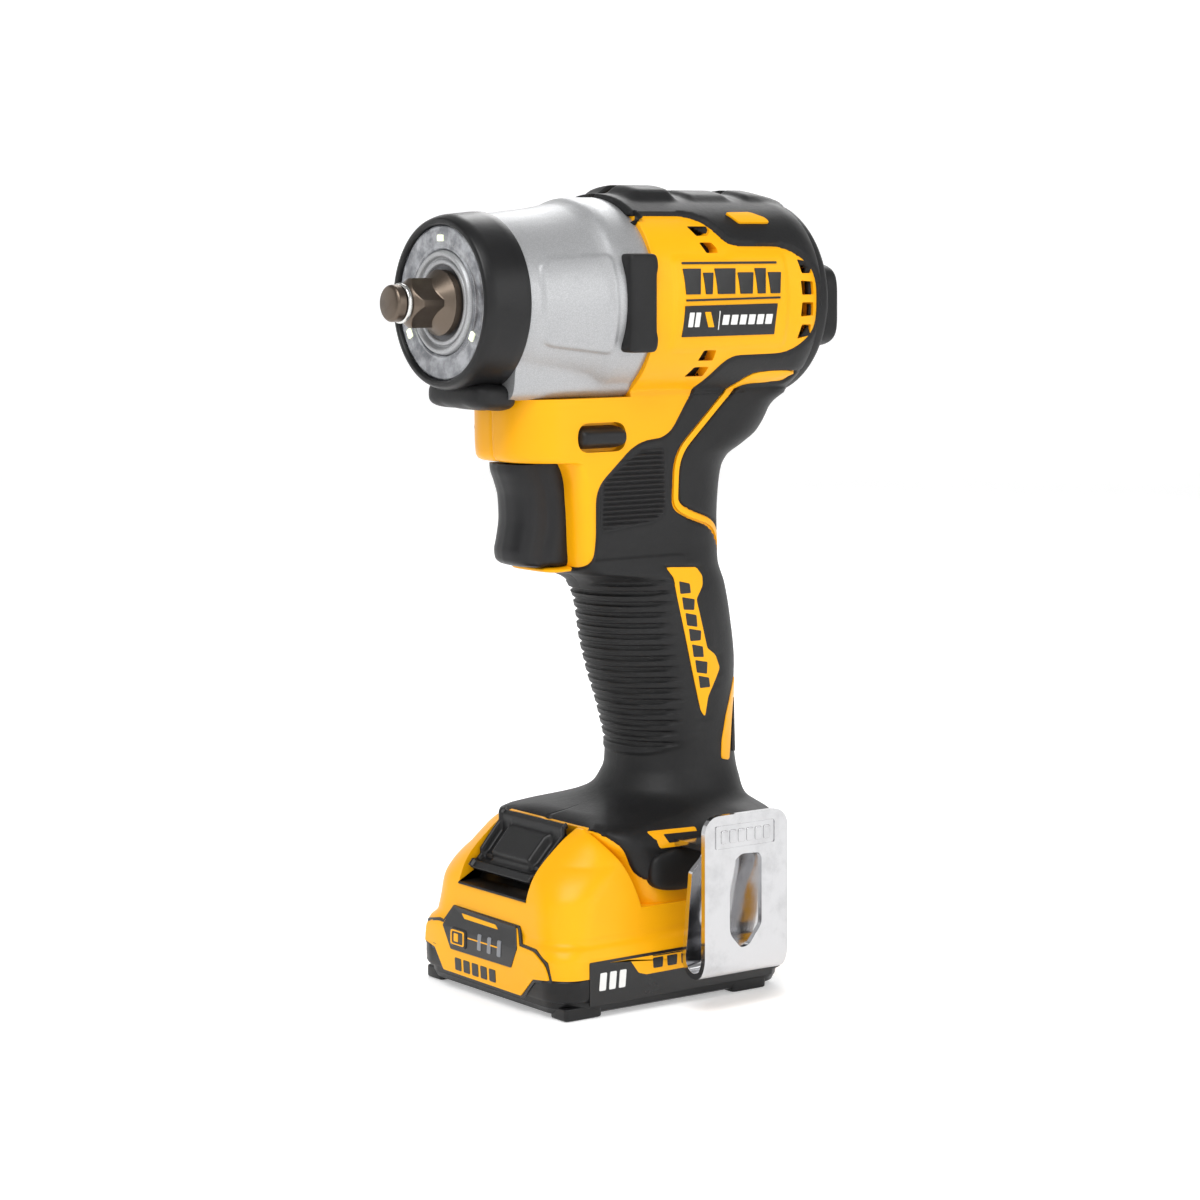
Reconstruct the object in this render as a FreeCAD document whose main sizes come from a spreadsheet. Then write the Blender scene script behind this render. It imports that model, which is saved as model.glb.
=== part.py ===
import FreeCAD, Part
import math
import os
import Sketcher
from FreeCAD import Placement, Rotation, Vector

# Compact cordless impact wrench, 3/8 inch square drive, slide-on battery.
#
# Frame: millimetres, origin at the middle of the battery's flat base, +Z up.
# The drive points along -X, the belt hook is on the -Y side.

# ---------------------------------------------------------------------------
# Driving dimensions.
# ---------------------------------------------------------------------------

DIMENSIONS = [
    # drive line
    ("axis_height", 170.0), ("drive_tip", -64.0), ("drive_square", 9.53), ("drive_shoulder", -50.0),
    ("shank_radius", 7.0), ("running_gap", 0.05), ("body_gap", 0.35),
    ("hammer_radius", 16.8), ("hammer_front", -29.7), ("hammer_rear", -15.4), ("cam_radius", 9.0),
    ("lug_front", -35.0), ("lug_rear", -30.2),
    # reduction gears
    ("gear_module", 0.6), ("sun_teeth", 12), ("planet_teeth", 21), ("planet_count", 3),
    ("pressure_angle", 20), ("tooth_addendum", 0.8), ("tooth_dedendum", 1.1), ("tooth_backlash", 0.12),
    ("gear_front", -6.2), ("gear_rear", -0.8),
    # metal nose
    ("nose_front", -49.7), ("nose_radius", 20.8), ("nose_step", -37.5), ("face_radius", 12.6),
    ("lens_radius", 18.2), ("case_rear_radius", 23.6), ("bulge_radius", 25.5), ("case_rear", -3.0),
    ("case_bottom", 146.5), ("case_bore", 18.0),
    # motor
    ("motor_front", 9.0), ("motor_rear", 35.0), ("stator_radius", 21.0), ("stator_bore", 12.0),
    ("rotor_radius", 11.4), ("motor_shaft_radius", 2.5), ("bearing_radius", 6.5),
    # barrel of the housing
    ("barrel_radius", 25.7), ("barrel_taper", 43.0), ("barrel_rear", 50.0), ("flat_half_height", 10.0),
    ("bumper_top", 199.0), ("rear_end", 60.0),
    ("bumper_seat", 23.7), ("seam_front", 190.8), ("seam_rear", 183.4),
    # centre of the housing, handle and foot
    ("core_half", 15.5), ("nose_block_front", -34.7), ("nose_block_bottom", 131.0),
    ("stem_front", -21.0), ("web_rear", 49.6), ("web_half", 10.5), ("grip_skin", 2.0),
    ("grip_top", 103.0), ("grip_middle", 78.0), ("waist", 57.0), ("foot_half", 28.5), ("foot_rear", 37.0),
    ("foot_floor", 24.3),
    # trigger and direction button
    ("trigger_top", 130.3), ("trigger_bottom", 106.0), ("trigger_half", 8.5), ("trigger_back", -13.4),
    ("switch_front", -7.0),
    # battery
    ("pack_half_length", 36.0), ("pack_half_width", 31.0), ("tray_top", 10.0), ("pack_shoulder", 23.9),
    ("cell_radius", 9.2), ("cell_length", 65.0), ("cell_pitch", 19.0), ("pack_wall", 2.5),
    ("rail_half", 21.5), ("rail_top", 35.6), ("latch_half", 14.0),
    # belt hook
    ("hook_plate", -45.7), ("hook_sheet", 1.4), ("hook_top", 44.5), ("hook_bottom", 8.4),
    ("hook_front", -4.0), ("hook_rear", 20.4),
]

doc = FreeCAD.newDocument("impact_wrench")
sheet = doc.addObject("Spreadsheet::Sheet", "dims")
for row, (alias, value) in enumerate(DIMENSIONS, start=1):
    sheet.set("A%d" % row, alias)
    sheet.set("B%d" % row, str(value))
    sheet.setAlias("B%d" % row, alias)
doc.recompute()


class Size:
    """A number together with the expression that keeps it bound to the sheet."""

    def __init__(self, value, text=None):
        self.value = float(value)
        self.text = text if text is not None else "%.6g" % value

    @staticmethod
    def of(other):
        return other if isinstance(other, Size) else Size(other)

    def joined(self, other, sign, value):
        return Size(value, "(%s %s %s)" % (self.text, sign, Size.of(other).text))

    def __add__(self, other):
        return self.joined(other, "+", self.value + Size.of(other).value)

    def __sub__(self, other):
        return self.joined(other, "-", self.value - Size.of(other).value)

    def __mul__(self, other):
        return self.joined(other, "*", self.value * Size.of(other).value)

    def __truediv__(self, other):
        return self.joined(other, "/", self.value / Size.of(other).value)

    def __radd__(self, other):
        return Size.of(other) + self

    def __rsub__(self, other):
        return Size.of(other) - self

    def __rmul__(self, other):
        return Size.of(other) * self

    def __neg__(self):
        return Size(0.0) - self


class Cells:
    """The sheet's cells by alias, each as a Size."""

    def __getattr__(self, alias):
        return Size(sheet.get(alias), "dims." + alias)


d = Cells()
AXIS = d.axis_height
ALONG_X = Rotation(Vector(1, 1, 1), 120)        # turns Z to X, X to Y and Y to Z
ALONG_Y = Rotation(Vector(1, 0, 0), -90)        # turns Z to Y

nodes = []          # the sub-parts that are written, in order


# ---------------------------------------------------------------------------
# Building blocks.
# ---------------------------------------------------------------------------

def bind(obj, prop, size):
    obj.setExpression(prop, Size.of(size).text)


def move_to(obj, x=0.0, y=0.0, z=0.0, turn=Rotation()):
    obj.Placement = Placement(Vector(), turn)
    for letter, size in (("x", x), ("y", y), ("z", z)):
        bind(obj, ".Placement.Base." + letter, size)
    return obj


def node(label, obj):
    obj.Label = label
    nodes.append(obj)
    return obj


def cylinder(name, radius, length, x, y, z, turn):
    obj = doc.addObject("Part::Cylinder", name)
    bind(obj, "Radius", radius)
    bind(obj, "Height", length)
    return move_to(obj, x, y, z, turn)


def rod(name, x0, x1, radius, y=0.0, z=AXIS):
    """Round bar along X from x0 to x1."""
    return cylinder(name, radius, Size.of(x1) - x0, x0, y, z, ALONG_X)


def rod_y(name, y0, y1, radius, x, z):
    return cylinder(name, radius, Size.of(y1) - y0, x, y0, z, ALONG_Y)


def rod_z(name, z0, z1, radius, x, y):
    return cylinder(name, radius, Size.of(z1) - z0, x, y, z0, Rotation())


def cone(name, x0, x1, radius0, radius1):
    """Round tapered bar along X on the drive axis."""
    obj = doc.addObject("Part::Cone", name)
    bind(obj, "Radius1", radius0)
    bind(obj, "Radius2", radius1)
    bind(obj, "Height", Size.of(x1) - x0)
    return move_to(obj, x0, 0.0, AXIS, ALONG_X)


def block(name, x, y, z):
    """Box between two values on each axis."""
    obj = doc.addObject("Part::Box", name)
    for prop, (low, high) in (("Length", x), ("Width", y), ("Height", z)):
        bind(obj, prop, Size.of(high) - low)
    return move_to(obj, x[0], y[0], z[0])


def fuse(name, *shapes):
    obj = doc.addObject("Part::MultiFuse", name)
    obj.Shapes = list(shapes)
    return obj


def common(name, *shapes):
    obj = doc.addObject("Part::MultiCommon", name)
    obj.Shapes = list(shapes)
    return obj


def cut(name, base, *tools):
    obj = doc.addObject("Part::Cut", name)
    obj.Base = base
    obj.Tool = tools[0] if len(tools) == 1 else fuse(name + "_tools", *tools)
    return obj


def group(name, *shapes):
    """Separate solids that share one sub-part."""
    obj = doc.addObject("Part::Compound", name)
    obj.Links = list(shapes)
    return obj


def tube(name, x0, x1, outer, inner, y=0.0, z=AXIS):
    return cut(name, rod(name + "_outer", x0, x1, outer, y, z), rod(name + "_inner", x0, x1, inner, y, z))


def rounded(name, base, radius, direction, keep=None):
    """Rounds the straight edges that run along a direction, where keep(centre) allows it."""
    doc.recompute()
    chosen = []
    for index, edge in enumerate(base.Shape.Edges, start=1):
        if edge.Curve.TypeId != "Part::GeomLine":
            continue
        ends = edge.Vertexes[-1].Point - edge.Vertexes[0].Point
        along = abs(ends.normalize().dot(direction)) > 0.999
        if along and (keep is None or keep(edge.CenterOfMass)):
            chosen.append((index, radius, radius))
    obj = doc.addObject("Part::Fillet", name)
    obj.Base = base
    obj.Edges = chosen
    return obj


def sketch_outline(body, name, role, points):
    """Closed outline on one of the body's origin planes, each corner dimensioned to the sheet."""
    sketch = body.newObject("Sketcher::SketchObject", name)
    plane = [feature for feature in body.Origin.OriginFeatures if feature.Role == role][0]
    sketch.AttachmentSupport = [(plane, "")]
    sketch.MapMode = "FlatFace"
    corners = [(Size.of(a), Size.of(b)) for a, b in points]
    count = len(corners)
    for i in range(count):
        start, end = corners[i], corners[(i + 1) % count]
        line = Part.LineSegment(Vector(start[0].value, start[1].value, 0),
                                Vector(end[0].value, end[1].value, 0))
        sketch.addGeometry(line, False)
    for i in range(count):
        sketch.addConstraint(Sketcher.Constraint("Coincident", i, 2, (i + 1) % count, 1))
    for i, corner in enumerate(corners):
        for kind, size, zero_axis in (("DistanceX", corner[0], -2), ("DistanceY", corner[1], -1)):
            if abs(size.value) < 1e-9:
                sketch.addConstraint(Sketcher.Constraint("PointOnObject", i, 1, zero_axis))
                continue
            index = sketch.addConstraint(Sketcher.Constraint(kind, -1, 1, i, 1, size.value))
            sketch.setExpression("Constraints[%d]" % index, size.text)
    return sketch


def prism(name, role, points, length, x=0.0, y=0.0, z=0.0):
    """Outline padded evenly to both sides of an origin plane."""
    body = doc.addObject("PartDesign::Body", name)
    sketch = sketch_outline(body, name + "_sketch", role, points)
    pad = body.newObject("PartDesign::Pad", name + "_pad")
    pad.Profile = sketch
    pad.SideType = "Symmetric"
    bind(pad, "Length", length)
    return move_to(body, x, y, z)


def turned(name, points):
    """Outline of (x, radius) turned about the drive axis."""
    body = doc.addObject("PartDesign::Body", name)
    sketch = sketch_outline(body, name + "_sketch", "XZ_Plane", points)
    turn = body.newObject("PartDesign::Revolution", name + "_turn")
    turn.Profile = sketch
    turn.ReferenceAxis = (sketch, ["H_Axis"])
    turn.Angle = 360
    return move_to(body, 0.0, 0.0, AXIS)


def loft(name, sections):
    """Solid through upright ovals, each given as (z, x, half_length, half_width)."""
    ovals = []
    for index, (z, x, half_length, half_width) in enumerate(sections):
        oval = doc.addObject("Part::Ellipse", "%s_oval_%d" % (name, index))
        bind(oval, "MajorRadius", half_length)
        bind(oval, "MinorRadius", half_width)
        ovals.append(move_to(oval, x, 0.0, z))
    obj = doc.addObject("Part::Loft", name)
    obj.Sections = ovals
    obj.Solid = True
    return obj


def coil_spring(name, radius, wire, pitch, length, x, y, z, turn):
    helix = doc.addObject("Part::Helix", name + "_helix")
    bind(helix, "Radius", radius)
    bind(helix, "Pitch", pitch)
    bind(helix, "Height", length)
    section = doc.addObject("Part::Circle", name + "_wire")
    bind(section, "Radius", wire)
    move_to(section, radius, 0.0, 0.0, Rotation(Vector(1, 0, 0), 90))
    obj = doc.addObject("Part::Sweep", name)
    obj.Sections = [section]
    obj.Spine = (helix, [])
    obj.Solid = True
    obj.Frenet = True
    return move_to(obj, x, y, z, turn)


# ---------------------------------------------------------------------------
# Drive line: anvil, hammer, camshaft.
# ---------------------------------------------------------------------------

def make_anvil():
    half = d.drive_square / 2
    tip = cone("anvil_tip", d.drive_tip, d.drive_tip + 0.9, 3.5, 4.35)
    pilot = rod("anvil_pilot", d.drive_tip + 0.9, d.drive_tip + 2.4, 4.35)
    neck = rod("anvil_neck", d.drive_tip + 2.4, d.drive_tip + 4.6, 3.6)
    square = prism("anvil_square", "YZ_Plane", [(-half, -half), (half, -half), (half, half), (-half, half)],
                   d.drive_shoulder + 1.0 - d.drive_tip - 4.6,
                   x=(d.drive_shoulder + 1.0 + d.drive_tip + 4.6) / 2, z=AXIS)
    square.Placement = Placement(square.Placement.Base, Rotation(Vector(1, 0, 0), 45))
    for letter, size in (("x", (d.drive_shoulder + 1.0 + d.drive_tip + 4.6) / 2), ("z", AXIS)):
        bind(square, ".Placement.Base." + letter, size)
    corners = rod("anvil_corners", d.drive_tip + 4.6, d.drive_shoulder + 1.0, half * 1.27)
    drive = common("anvil_drive", square, corners)
    shank = rod("anvil_shank", d.drive_shoulder, d.lug_front, d.shank_radius)
    flange = rod("anvil_flange", d.lug_front - 0.9, d.lug_rear, 11.5)
    lugs = block("anvil_lugs", (d.lug_front, d.lug_rear), (-4.2, 4.2), (AXIS - 16.2, AXIS + 16.2))
    bore = rod("anvil_bore", d.lug_front + 0.4, d.lug_rear, 3.5 + d.running_gap)
    node("anvil", cut("anvil", fuse("anvil_steel", tip, pilot, neck, drive, shank, flange, lugs), bore))
    ring = tube("hog_ring", d.drive_tip + 2.7, d.drive_tip + 4.3, 4.75, 3.6)
    node("hog_ring", ring)


def make_hammer():
    shell = rod("hammer_shell", d.hammer_front, d.hammer_rear, d.hammer_radius)
    jaw = block("hammer_jaws", (d.lug_front + 0.3, d.hammer_front + 1.0), (-16.2, 16.2),
                (AXIS - 4.2, AXIS + 4.2))
    jaw_ring = tube("hammer_jaw_ring", d.lug_front + 0.3, d.hammer_front + 1.0, d.hammer_radius, 12.0)
    jaws = common("hammer_jaw_pair", jaw, jaw_ring)
    bore = rod("hammer_bore", d.hammer_front - 1.0, d.hammer_rear + 1.0, d.cam_radius + d.running_gap)
    spring_seat = tube("hammer_spring_seat", -22.0, d.hammer_rear, 15.0, 11.0)
    grooves = [rod("hammer_groove_%d" % side, d.hammer_front - 1.0, -20.0, 2.4, z=AXIS + side * d.cam_radius)
               for side in (-1, 1)]
    node("hammer", cut("hammer", fuse("hammer_steel", shell, jaws), bore, spring_seat, *grooves))


def make_camshaft():
    front = rod("cam_pilot", d.lug_front + 0.9, -29.0, 3.5)
    main = rod("cam_main", -29.9, -9.0, d.cam_radius)
    carrier = rod("cam_carrier", -9.0, d.gear_front - 0.3, 16.5)
    pocket = [rod("cam_pocket_%d" % side, -30.0, -16.0, 2.3, z=AXIS + side * d.cam_radius)
              for side in (-1, 1)]
    pin_holes = [place_planet(rod("carrier_hole_%d" % k, -9.0, d.gear_front, 1.5, z=0.0), k)
                 for k in range(3)]
    sun_room = rod("cam_sun_room", -9.0, d.gear_front, 4.6)
    node("camshaft", cut("camshaft", fuse("cam_steel", front, main, carrier), sun_room, *pocket, *pin_holes))
    balls = []
    for side in (-1, 1):
        ball = doc.addObject("Part::Sphere", "cam_ball_%d" % (side + 2))
        bind(ball, "Radius", 2.15)
        balls.append(move_to(ball, -25.0, 0.0, AXIS + side * d.cam_radius))
    node("cam_balls", group("cam_balls", *balls))
    pins = [place_planet(rod("planet_pin_%d" % k, -9.0, d.gear_rear + 0.3, 1.5, z=0.0), k) for k in range(3)]
    node("planet_pins", group("planet_pins", *pins))
    node("thrust_washer", tube("thrust_washer", -10.2, -9.0, 15.0, d.cam_radius))
    node("hammer_spring", coil_spring("hammer_spring", 13.0, 1.0, 3.7, 8.2, -21.0 + 1.1, 0.0, AXIS, ALONG_X))
    node("carrier_bearing", tube("carrier_bearing", -9.0, -6.6, 22.0, 16.5 + d.running_gap))


# ---------------------------------------------------------------------------
# Planetary reduction.
# ---------------------------------------------------------------------------

def place_planet(obj, index):
    """Moves an object built about the X axis to one planet's place around the drive axis."""
    angle = math.radians(120.0 * index + 90.0)
    orbit = d.gear_module * (d.sun_teeth + d.planet_teeth) / 2
    x = obj.Placement.Base.x
    obj.Placement = Placement(Vector(x, 0, 0), obj.Placement.Rotation)
    bind(obj, ".Placement.Base.y", orbit * math.cos(angle))
    bind(obj, ".Placement.Base.z", AXIS + orbit * math.sin(angle))
    return obj


def involute_gap(angle):
    return math.tan(angle) - angle


def gear_face(teeth, addendum, dedendum, backlash, centre_angle):
    """Face of an involute gear about the origin: one tooth is centred on centre_angle (radians)."""
    module = sheet.get("gear_module")
    pressure = math.radians(sheet.get("pressure_angle"))
    pitch_radius = module * teeth / 2
    base_radius = pitch_radius * math.cos(pressure)
    tip_radius = pitch_radius + addendum * module
    root_radius = pitch_radius - dedendum * module
    half_tooth = math.pi / (2 * teeth) - backlash / (2 * pitch_radius)

    def half_angle(radius):
        if radius <= base_radius:
            return half_tooth + involute_gap(pressure)
        return half_tooth + involute_gap(pressure) - involute_gap(math.acos(base_radius / radius))

    def point(radius, angle):
        return Vector(radius * math.cos(angle), radius * math.sin(angle), 0)

    start = max(base_radius, root_radius)
    flank = [start + (tip_radius - start) * step / 4 for step in range(5)]
    edges = []
    for tooth in range(teeth):
        centre = centre_angle + 2 * math.pi * tooth / teeth
        rising = [point(radius, centre - half_angle(radius)) for radius in flank]
        falling = [point(radius, centre + half_angle(radius)) for radius in reversed(flank)]
        root_start = point(root_radius, centre - half_angle(root_radius))
        root_end = point(root_radius, centre + half_angle(root_radius))
        next_centre = centre + 2 * math.pi / teeth
        next_root = point(root_radius, next_centre - half_angle(root_radius))
        if root_radius < base_radius:
            edges.append(Part.LineSegment(root_start, rising[0]).toShape())
        for side in (rising, falling):
            curve = Part.BSplineCurve()
            curve.interpolate(side)
            edges.append(curve.toShape())
            if side is rising:
                edges.append(Part.Arc(rising[-1], point(tip_radius, centre), falling[0]).toShape())
        if root_radius < base_radius:
            edges.append(Part.LineSegment(falling[-1], root_end).toShape())
        middle = point(root_radius, centre + math.pi / teeth)
        edges.append(Part.Arc(root_end, middle, next_root).toShape())
    return Part.Face(Part.Wire(edges))


def gear_feature(label, shape, x, y, z):
    obj = doc.addObject("Part::Feature", label)
    obj.Shape = shape
    obj.Placement = Placement(Vector(x, y, z), ALONG_X)
    return node(label, obj)


def make_gears():
    width = sheet.get("gear_rear") - sheet.get("gear_front")
    front = sheet.get("gear_front")
    axis = sheet.get("axis_height")
    sun = int(sheet.get("sun_teeth"))
    planet = int(sheet.get("planet_teeth"))
    ring = sun + 2 * planet
    orbit = sheet.get("gear_module") * (sun + planet) / 2
    tall = sheet.get("tooth_addendum")
    deep = sheet.get("tooth_dedendum")
    slack = sheet.get("tooth_backlash")
    gap = sheet.get("running_gap")
    up = math.pi / 2
    for index in range(int(sheet.get("planet_count"))):
        angle = up + 2 * math.pi * index / 3
        body = gear_face(planet, tall, deep, slack, angle).extrude(Vector(0, 0, width))
        bore = Part.makeCylinder(1.5 + gap, width)
        gear_feature("planet_gear_%d" % (index + 1), body.cut(bore), front,
                     orbit * math.cos(angle), axis + orbit * math.sin(angle))
    pinion = gear_face(sun, tall, deep, slack, up).extrude(Vector(0, 0, width))
    gear_feature("pinion", pinion.cut(Part.makeCylinder(2.0, width)), front, 0, axis)
    teeth = gear_face(ring, deep, tall, -slack, up).extrude(Vector(0, 0, width))
    gear_feature("ring_gear", Part.makeCylinder(20.0, width).cut(teeth), front, 0, axis)


# ---------------------------------------------------------------------------
# Metal nose, lamp ring and rubber nose bumper.
# ---------------------------------------------------------------------------

def make_nose():
    front = d.nose_front
    outline = [(front + 0.8, 9.5), (front + 0.8, d.face_radius), (-43.9, d.face_radius), (-43.9, 19.2),
               (d.nose_step, 19.2), (d.nose_step, d.nose_radius), (-16.5, d.case_rear_radius),
               (-12.5, d.bulge_radius), (-3.6, d.bulge_radius), (d.case_rear, d.bulge_radius - 0.6),
               (d.case_rear, 23.0), (0.6, 23.0), (0.6, 22.0), (-9.0, 22.0), (-9.0, d.case_bore),
               (-36.5, d.case_bore), (-36.5, 9.5)]
    shell = turned("case_turned", outline)
    keel = block("case_keel", (d.nose_step, d.case_rear), (-d.core_half, d.core_half),
                 (d.case_bottom, AXIS - 16.0))
    keel_bore = rod("case_keel_bore", d.nose_step, d.case_rear, 22.0)
    keel_solid = cut("case_keel_cut", keel, keel_bore)
    panels = []
    for side in (-1, 1):
        low, high = (20.0, 24.6) if side > 0 else (-24.6, -20.0)
        pad = block("case_panel_%d" % (side + 2), (-33.0, -14.5), (low, high), (AXIS - 11.0, AXIS + 11.0))
        panels.append(cut("case_panel_cut_%d" % (side + 2), pad,
                          rod("case_panel_bore_%d" % (side + 2), -34.0, -14.0, 20.6)))
    node("gear_case", fuse("gear_case", shell, keel_solid, *panels))
    node("anvil_bush", tube("anvil_bush", front + 1.4, -36.5, 9.5, d.shank_radius + d.running_gap))
    node("nose_bumper", turned("nose_bumper", [
        (front, d.lens_radius + 0.4), (front, d.nose_radius - 0.9), (front + 1.2, d.nose_radius),
        (d.nose_step, d.nose_radius + 0.2), (d.nose_step, 19.2), (-43.9, 19.2), (-43.9, d.lens_radius + 0.1),
        (front + 1.0, d.lens_radius + 0.1)]))
    node("lens_ring", tube("lens_ring", front + 2.2, front + 3.2, d.lens_radius, d.face_radius))
    node("lamp_board", tube("lamp_board", -45.5, -44.2, d.lens_radius - 0.2, d.face_radius + 0.2))
    lamps = []
    for index in range(3):
        angle = math.radians(90.0 + 120.0 * index)
        y = 15.4 * math.cos(angle)
        z = AXIS + 15.4 * math.sin(angle)
        lamps.append(block("lamp_%d" % index, (-46.4, -45.5), (y - 1.2, y + 1.2), (z - 1.2, z + 1.2)))
    node("lamps", group("lamps", *lamps))
    plate = tube("case_plate_disc", 0.6, 4.8, 22.9, d.bearing_radius)
    node("gear_case_plate", plate)
    node("front_bearing", tube("front_bearing", 0.8, 4.8, d.bearing_radius, d.motor_shaft_radius))


# ---------------------------------------------------------------------------
# Brushless motor.
# ---------------------------------------------------------------------------

def make_motor():
    shaft = rod("shaft_main", -0.6, 51.5, d.motor_shaft_radius)
    stub = rod("shaft_stub", d.gear_front, -0.6, 2.0)
    node("motor_shaft", fuse("motor_shaft", shaft, stub))
    node("rotor_core", tube("rotor_core", d.motor_front, d.motor_rear, d.rotor_radius, d.motor_shaft_radius))
    yoke = tube("stator_yoke", d.motor_front, d.motor_rear, d.stator_radius, d.stator_radius - 2.6)
    teeth = []
    coils = []
    for index in range(6):
        angle = 60.0 * index
        tooth = block("stator_tooth_%d" % index, (d.motor_front, d.motor_rear), (-2.2, 2.2),
                      (d.stator_bore, d.stator_radius - 2.0))
        shoe = block("stator_shoe_%d" % index, (d.motor_front, d.motor_rear), (-4.6, 4.6),
                     (d.stator_bore + 0.6, d.stator_bore + 1.6))
        for piece in (tooth, shoe):
            turn_about_axis(piece, angle)
        teeth += [tooth, shoe]
        outer = block("coil_outer_%d" % index, (d.motor_front - 3.0, d.motor_rear + 3.0), (-4.4, 4.4),
                      (d.stator_bore + 2.0, d.stator_radius - 3.4))
        inner = block("coil_inner_%d" % index, (d.motor_front - 0.2, d.motor_rear + 0.2), (-2.4, 2.4),
                      (d.stator_bore + 1.0, d.stator_radius - 3.0))
        for piece in (outer, inner):
            turn_about_axis(piece, angle)
        coils.append(cut("coil_%d" % index, outer, inner))
    round_bore = rod("stator_round_bore", d.motor_front - 1.0, d.motor_rear + 1.0, d.stator_bore)
    node("stator_core", cut("stator_core", fuse("stator_steel", yoke, *teeth), round_bore))
    node("stator_windings", group("stator_windings", *coils))
    node("sensor_board", tube("sensor_board", 38.3, 39.3, 17.0, 7.0))
    hub = rod("fan_hub", 40.2, 46.0, 5.0)
    disc = rod("fan_disc", 40.2, 41.2, 18.5)
    blades = []
    for index in range(9):
        blade = block("fan_blade_%d" % index, (41.0, 45.8), (-0.5, 0.5), (4.6, 18.3))
        blades.append(turn_about_axis(blade, 40.0 * index))
    fan_bore = rod("fan_bore", 40.0, 46.5, d.motor_shaft_radius)
    node("cooling_fan", cut("cooling_fan", fuse("fan_form", hub, disc, *blades), fan_bore))
    node("rear_bearing", tube("rear_bearing", 47.0, 51.0, d.bearing_radius, d.motor_shaft_radius))


def turn_about_axis(obj, angle):
    """Turns a block that was placed in heights above the X axis to an angle on the drive axis."""
    base = obj.Placement.Base
    texts = dict(obj.ExpressionEngine)
    y_text = texts[".Placement.Base.y"]
    z_text = texts[".Placement.Base.z"]
    cosine = math.cos(math.radians(angle))
    sine = math.sin(math.radians(angle))
    obj.Placement = Placement(base, Rotation(Vector(1, 0, 0), angle))
    obj.setExpression(".Placement.Base.y", "(%s) * %.9f - (%s) * %.9f" % (y_text, cosine, z_text, sine))
    obj.setExpression(".Placement.Base.z",
                      "dims.axis_height + (%s) * %.9f + (%s) * %.9f" % (y_text, sine, z_text, cosine))
    return obj


# ---------------------------------------------------------------------------
# Housing halves, overmoulds and bumpers.
# ---------------------------------------------------------------------------

# Handle sections: height, middle along X, half length and half width of the outside of the grip.
def grip_sections(inset):
    rows = [(d.grip_top, 13.6, 20.0, 16.4), (90.0, 15.6, 20.6, 16.2), (d.grip_middle, 17.5, 20.3, 15.8),
            (66.0, 19.3, 17.8, 15.5), (d.waist, 20.6, 16.7, 15.3)]
    return [(z, x, Size(length) - inset, Size(width) - inset) for z, x, length, width in rows]


def foot_sections():
    """Flare from the waist of the handle out to the top of the foot."""
    return [(d.waist, 20.6, 16.7, 15.3), (51.5, 21.1, 17.2, 16.0), (47.7, 20.9, 18.4, 17.6),
            (44.2, 18.6, 21.4, 21.2), (41.5, 9.0, 28.4, 26.6)]


def core_points():
    return [(d.nose_block_front, d.case_bottom), (d.case_rear, d.case_bottom), (d.case_rear, AXIS),
            (20.0, AXIS),
            (20.0, 101.0), (-4.0, 101.0), (-12.0, 102.5), (-17.0, 104.6), (d.stem_front + 1.0, 112.0),
            (d.stem_front, d.nose_block_bottom), (d.nose_block_front, d.nose_block_bottom)]


def web_points():
    """Side view of the palm web between the barrel and the handle."""
    return [(15.0, 165.0), (46.0, 165.0), (d.web_rear, 150.0), (d.web_rear - 0.8, 144.0), (45.0, 139.0),
            (40.0, 134.0), (32.0, 129.8), (29.0, 124.0), (27.8, 117.0), (28.0, 109.0), (29.5, 101.0),
            (15.0, 101.0)]


def seam_points():
    """Side view of the space that belongs to the battery, in front of and below the foot."""
    return [(-60.0, 20.0), (-9.8, d.foot_floor), (-13.6, 34.6), (-17.7, 41.3), (-21.5, 42.9), (-60.0, 60.0)]


# Screws that join the housing halves: place along X, height, half length of the boss.
SCREW_PLACES = [(-29.0, 139.0, 10.4), (9.0, 142.5, 10.4), (42.0, 143.5, 10.4), (17.0, 84.0, 12.6),
                (20.5, 58.5, 12.0), (31.0, 46.8, 12.0)]


def housing_form():
    barrel = rod("barrel_round", d.case_rear, d.barrel_taper, d.barrel_radius)
    taper = cone("barrel_taper_end", d.barrel_taper, d.barrel_rear, d.barrel_radius, d.barrel_radius - 2.6)
    sides = block("barrel_sides", (d.case_rear, d.barrel_taper), (-d.barrel_radius, d.barrel_radius),
                  (AXIS - d.flat_half_height, AXIS + d.flat_half_height))
    core = rounded("core_block", prism("core_prism", "XZ_Plane", core_points(), d.core_half * 2), 12.0,
                   Vector(0, 0, 1), lambda p: p.x < -34.0)
    web = prism("web_block", "XZ_Plane", web_points(), d.web_half * 2)
    handle = loft("handle_form", grip_sections(d.grip_skin))
    foot_top = loft("foot_flare", foot_sections())
    foot_low = rounded("foot_low", block("foot_block", (-20.5, d.foot_rear), (-d.foot_half, d.foot_half),
                                         (d.foot_floor, 41.5)), 9.0, Vector(0, 0, 1))
    foot = cut("foot_form", fuse("foot_all", foot_top, foot_low),
               prism("battery_space", "XZ_Plane", seam_points(), 80.0))
    return fuse("housing_form", barrel, taper, sides, core, web, handle, foot)


def bumper_zone(name, extra):
    """Space above the seam of the top bumper: higher in front, lower behind, joined by a ramp."""
    outline = [(-2.0 - extra, d.seam_front), (13.0, d.seam_front), (21.0, d.seam_rear), (54.0, d.seam_rear),
               (54.0, 210.0), (-2.0 - extra, 210.0)]
    return prism(name, "XZ_Plane", outline, 70.0)


def vents(side):
    low, high = (20.0, 27.0) if side > 0 else (-27.0, -20.0)
    cuts = []
    for index in range(4):
        z = 161.4 + 4.7 * index
        cuts.append(block("vent_%d_%d" % (side + 2, index), (40.6, 44.4), (low, high), (z, z + 2.6)))
    return cuts


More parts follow.
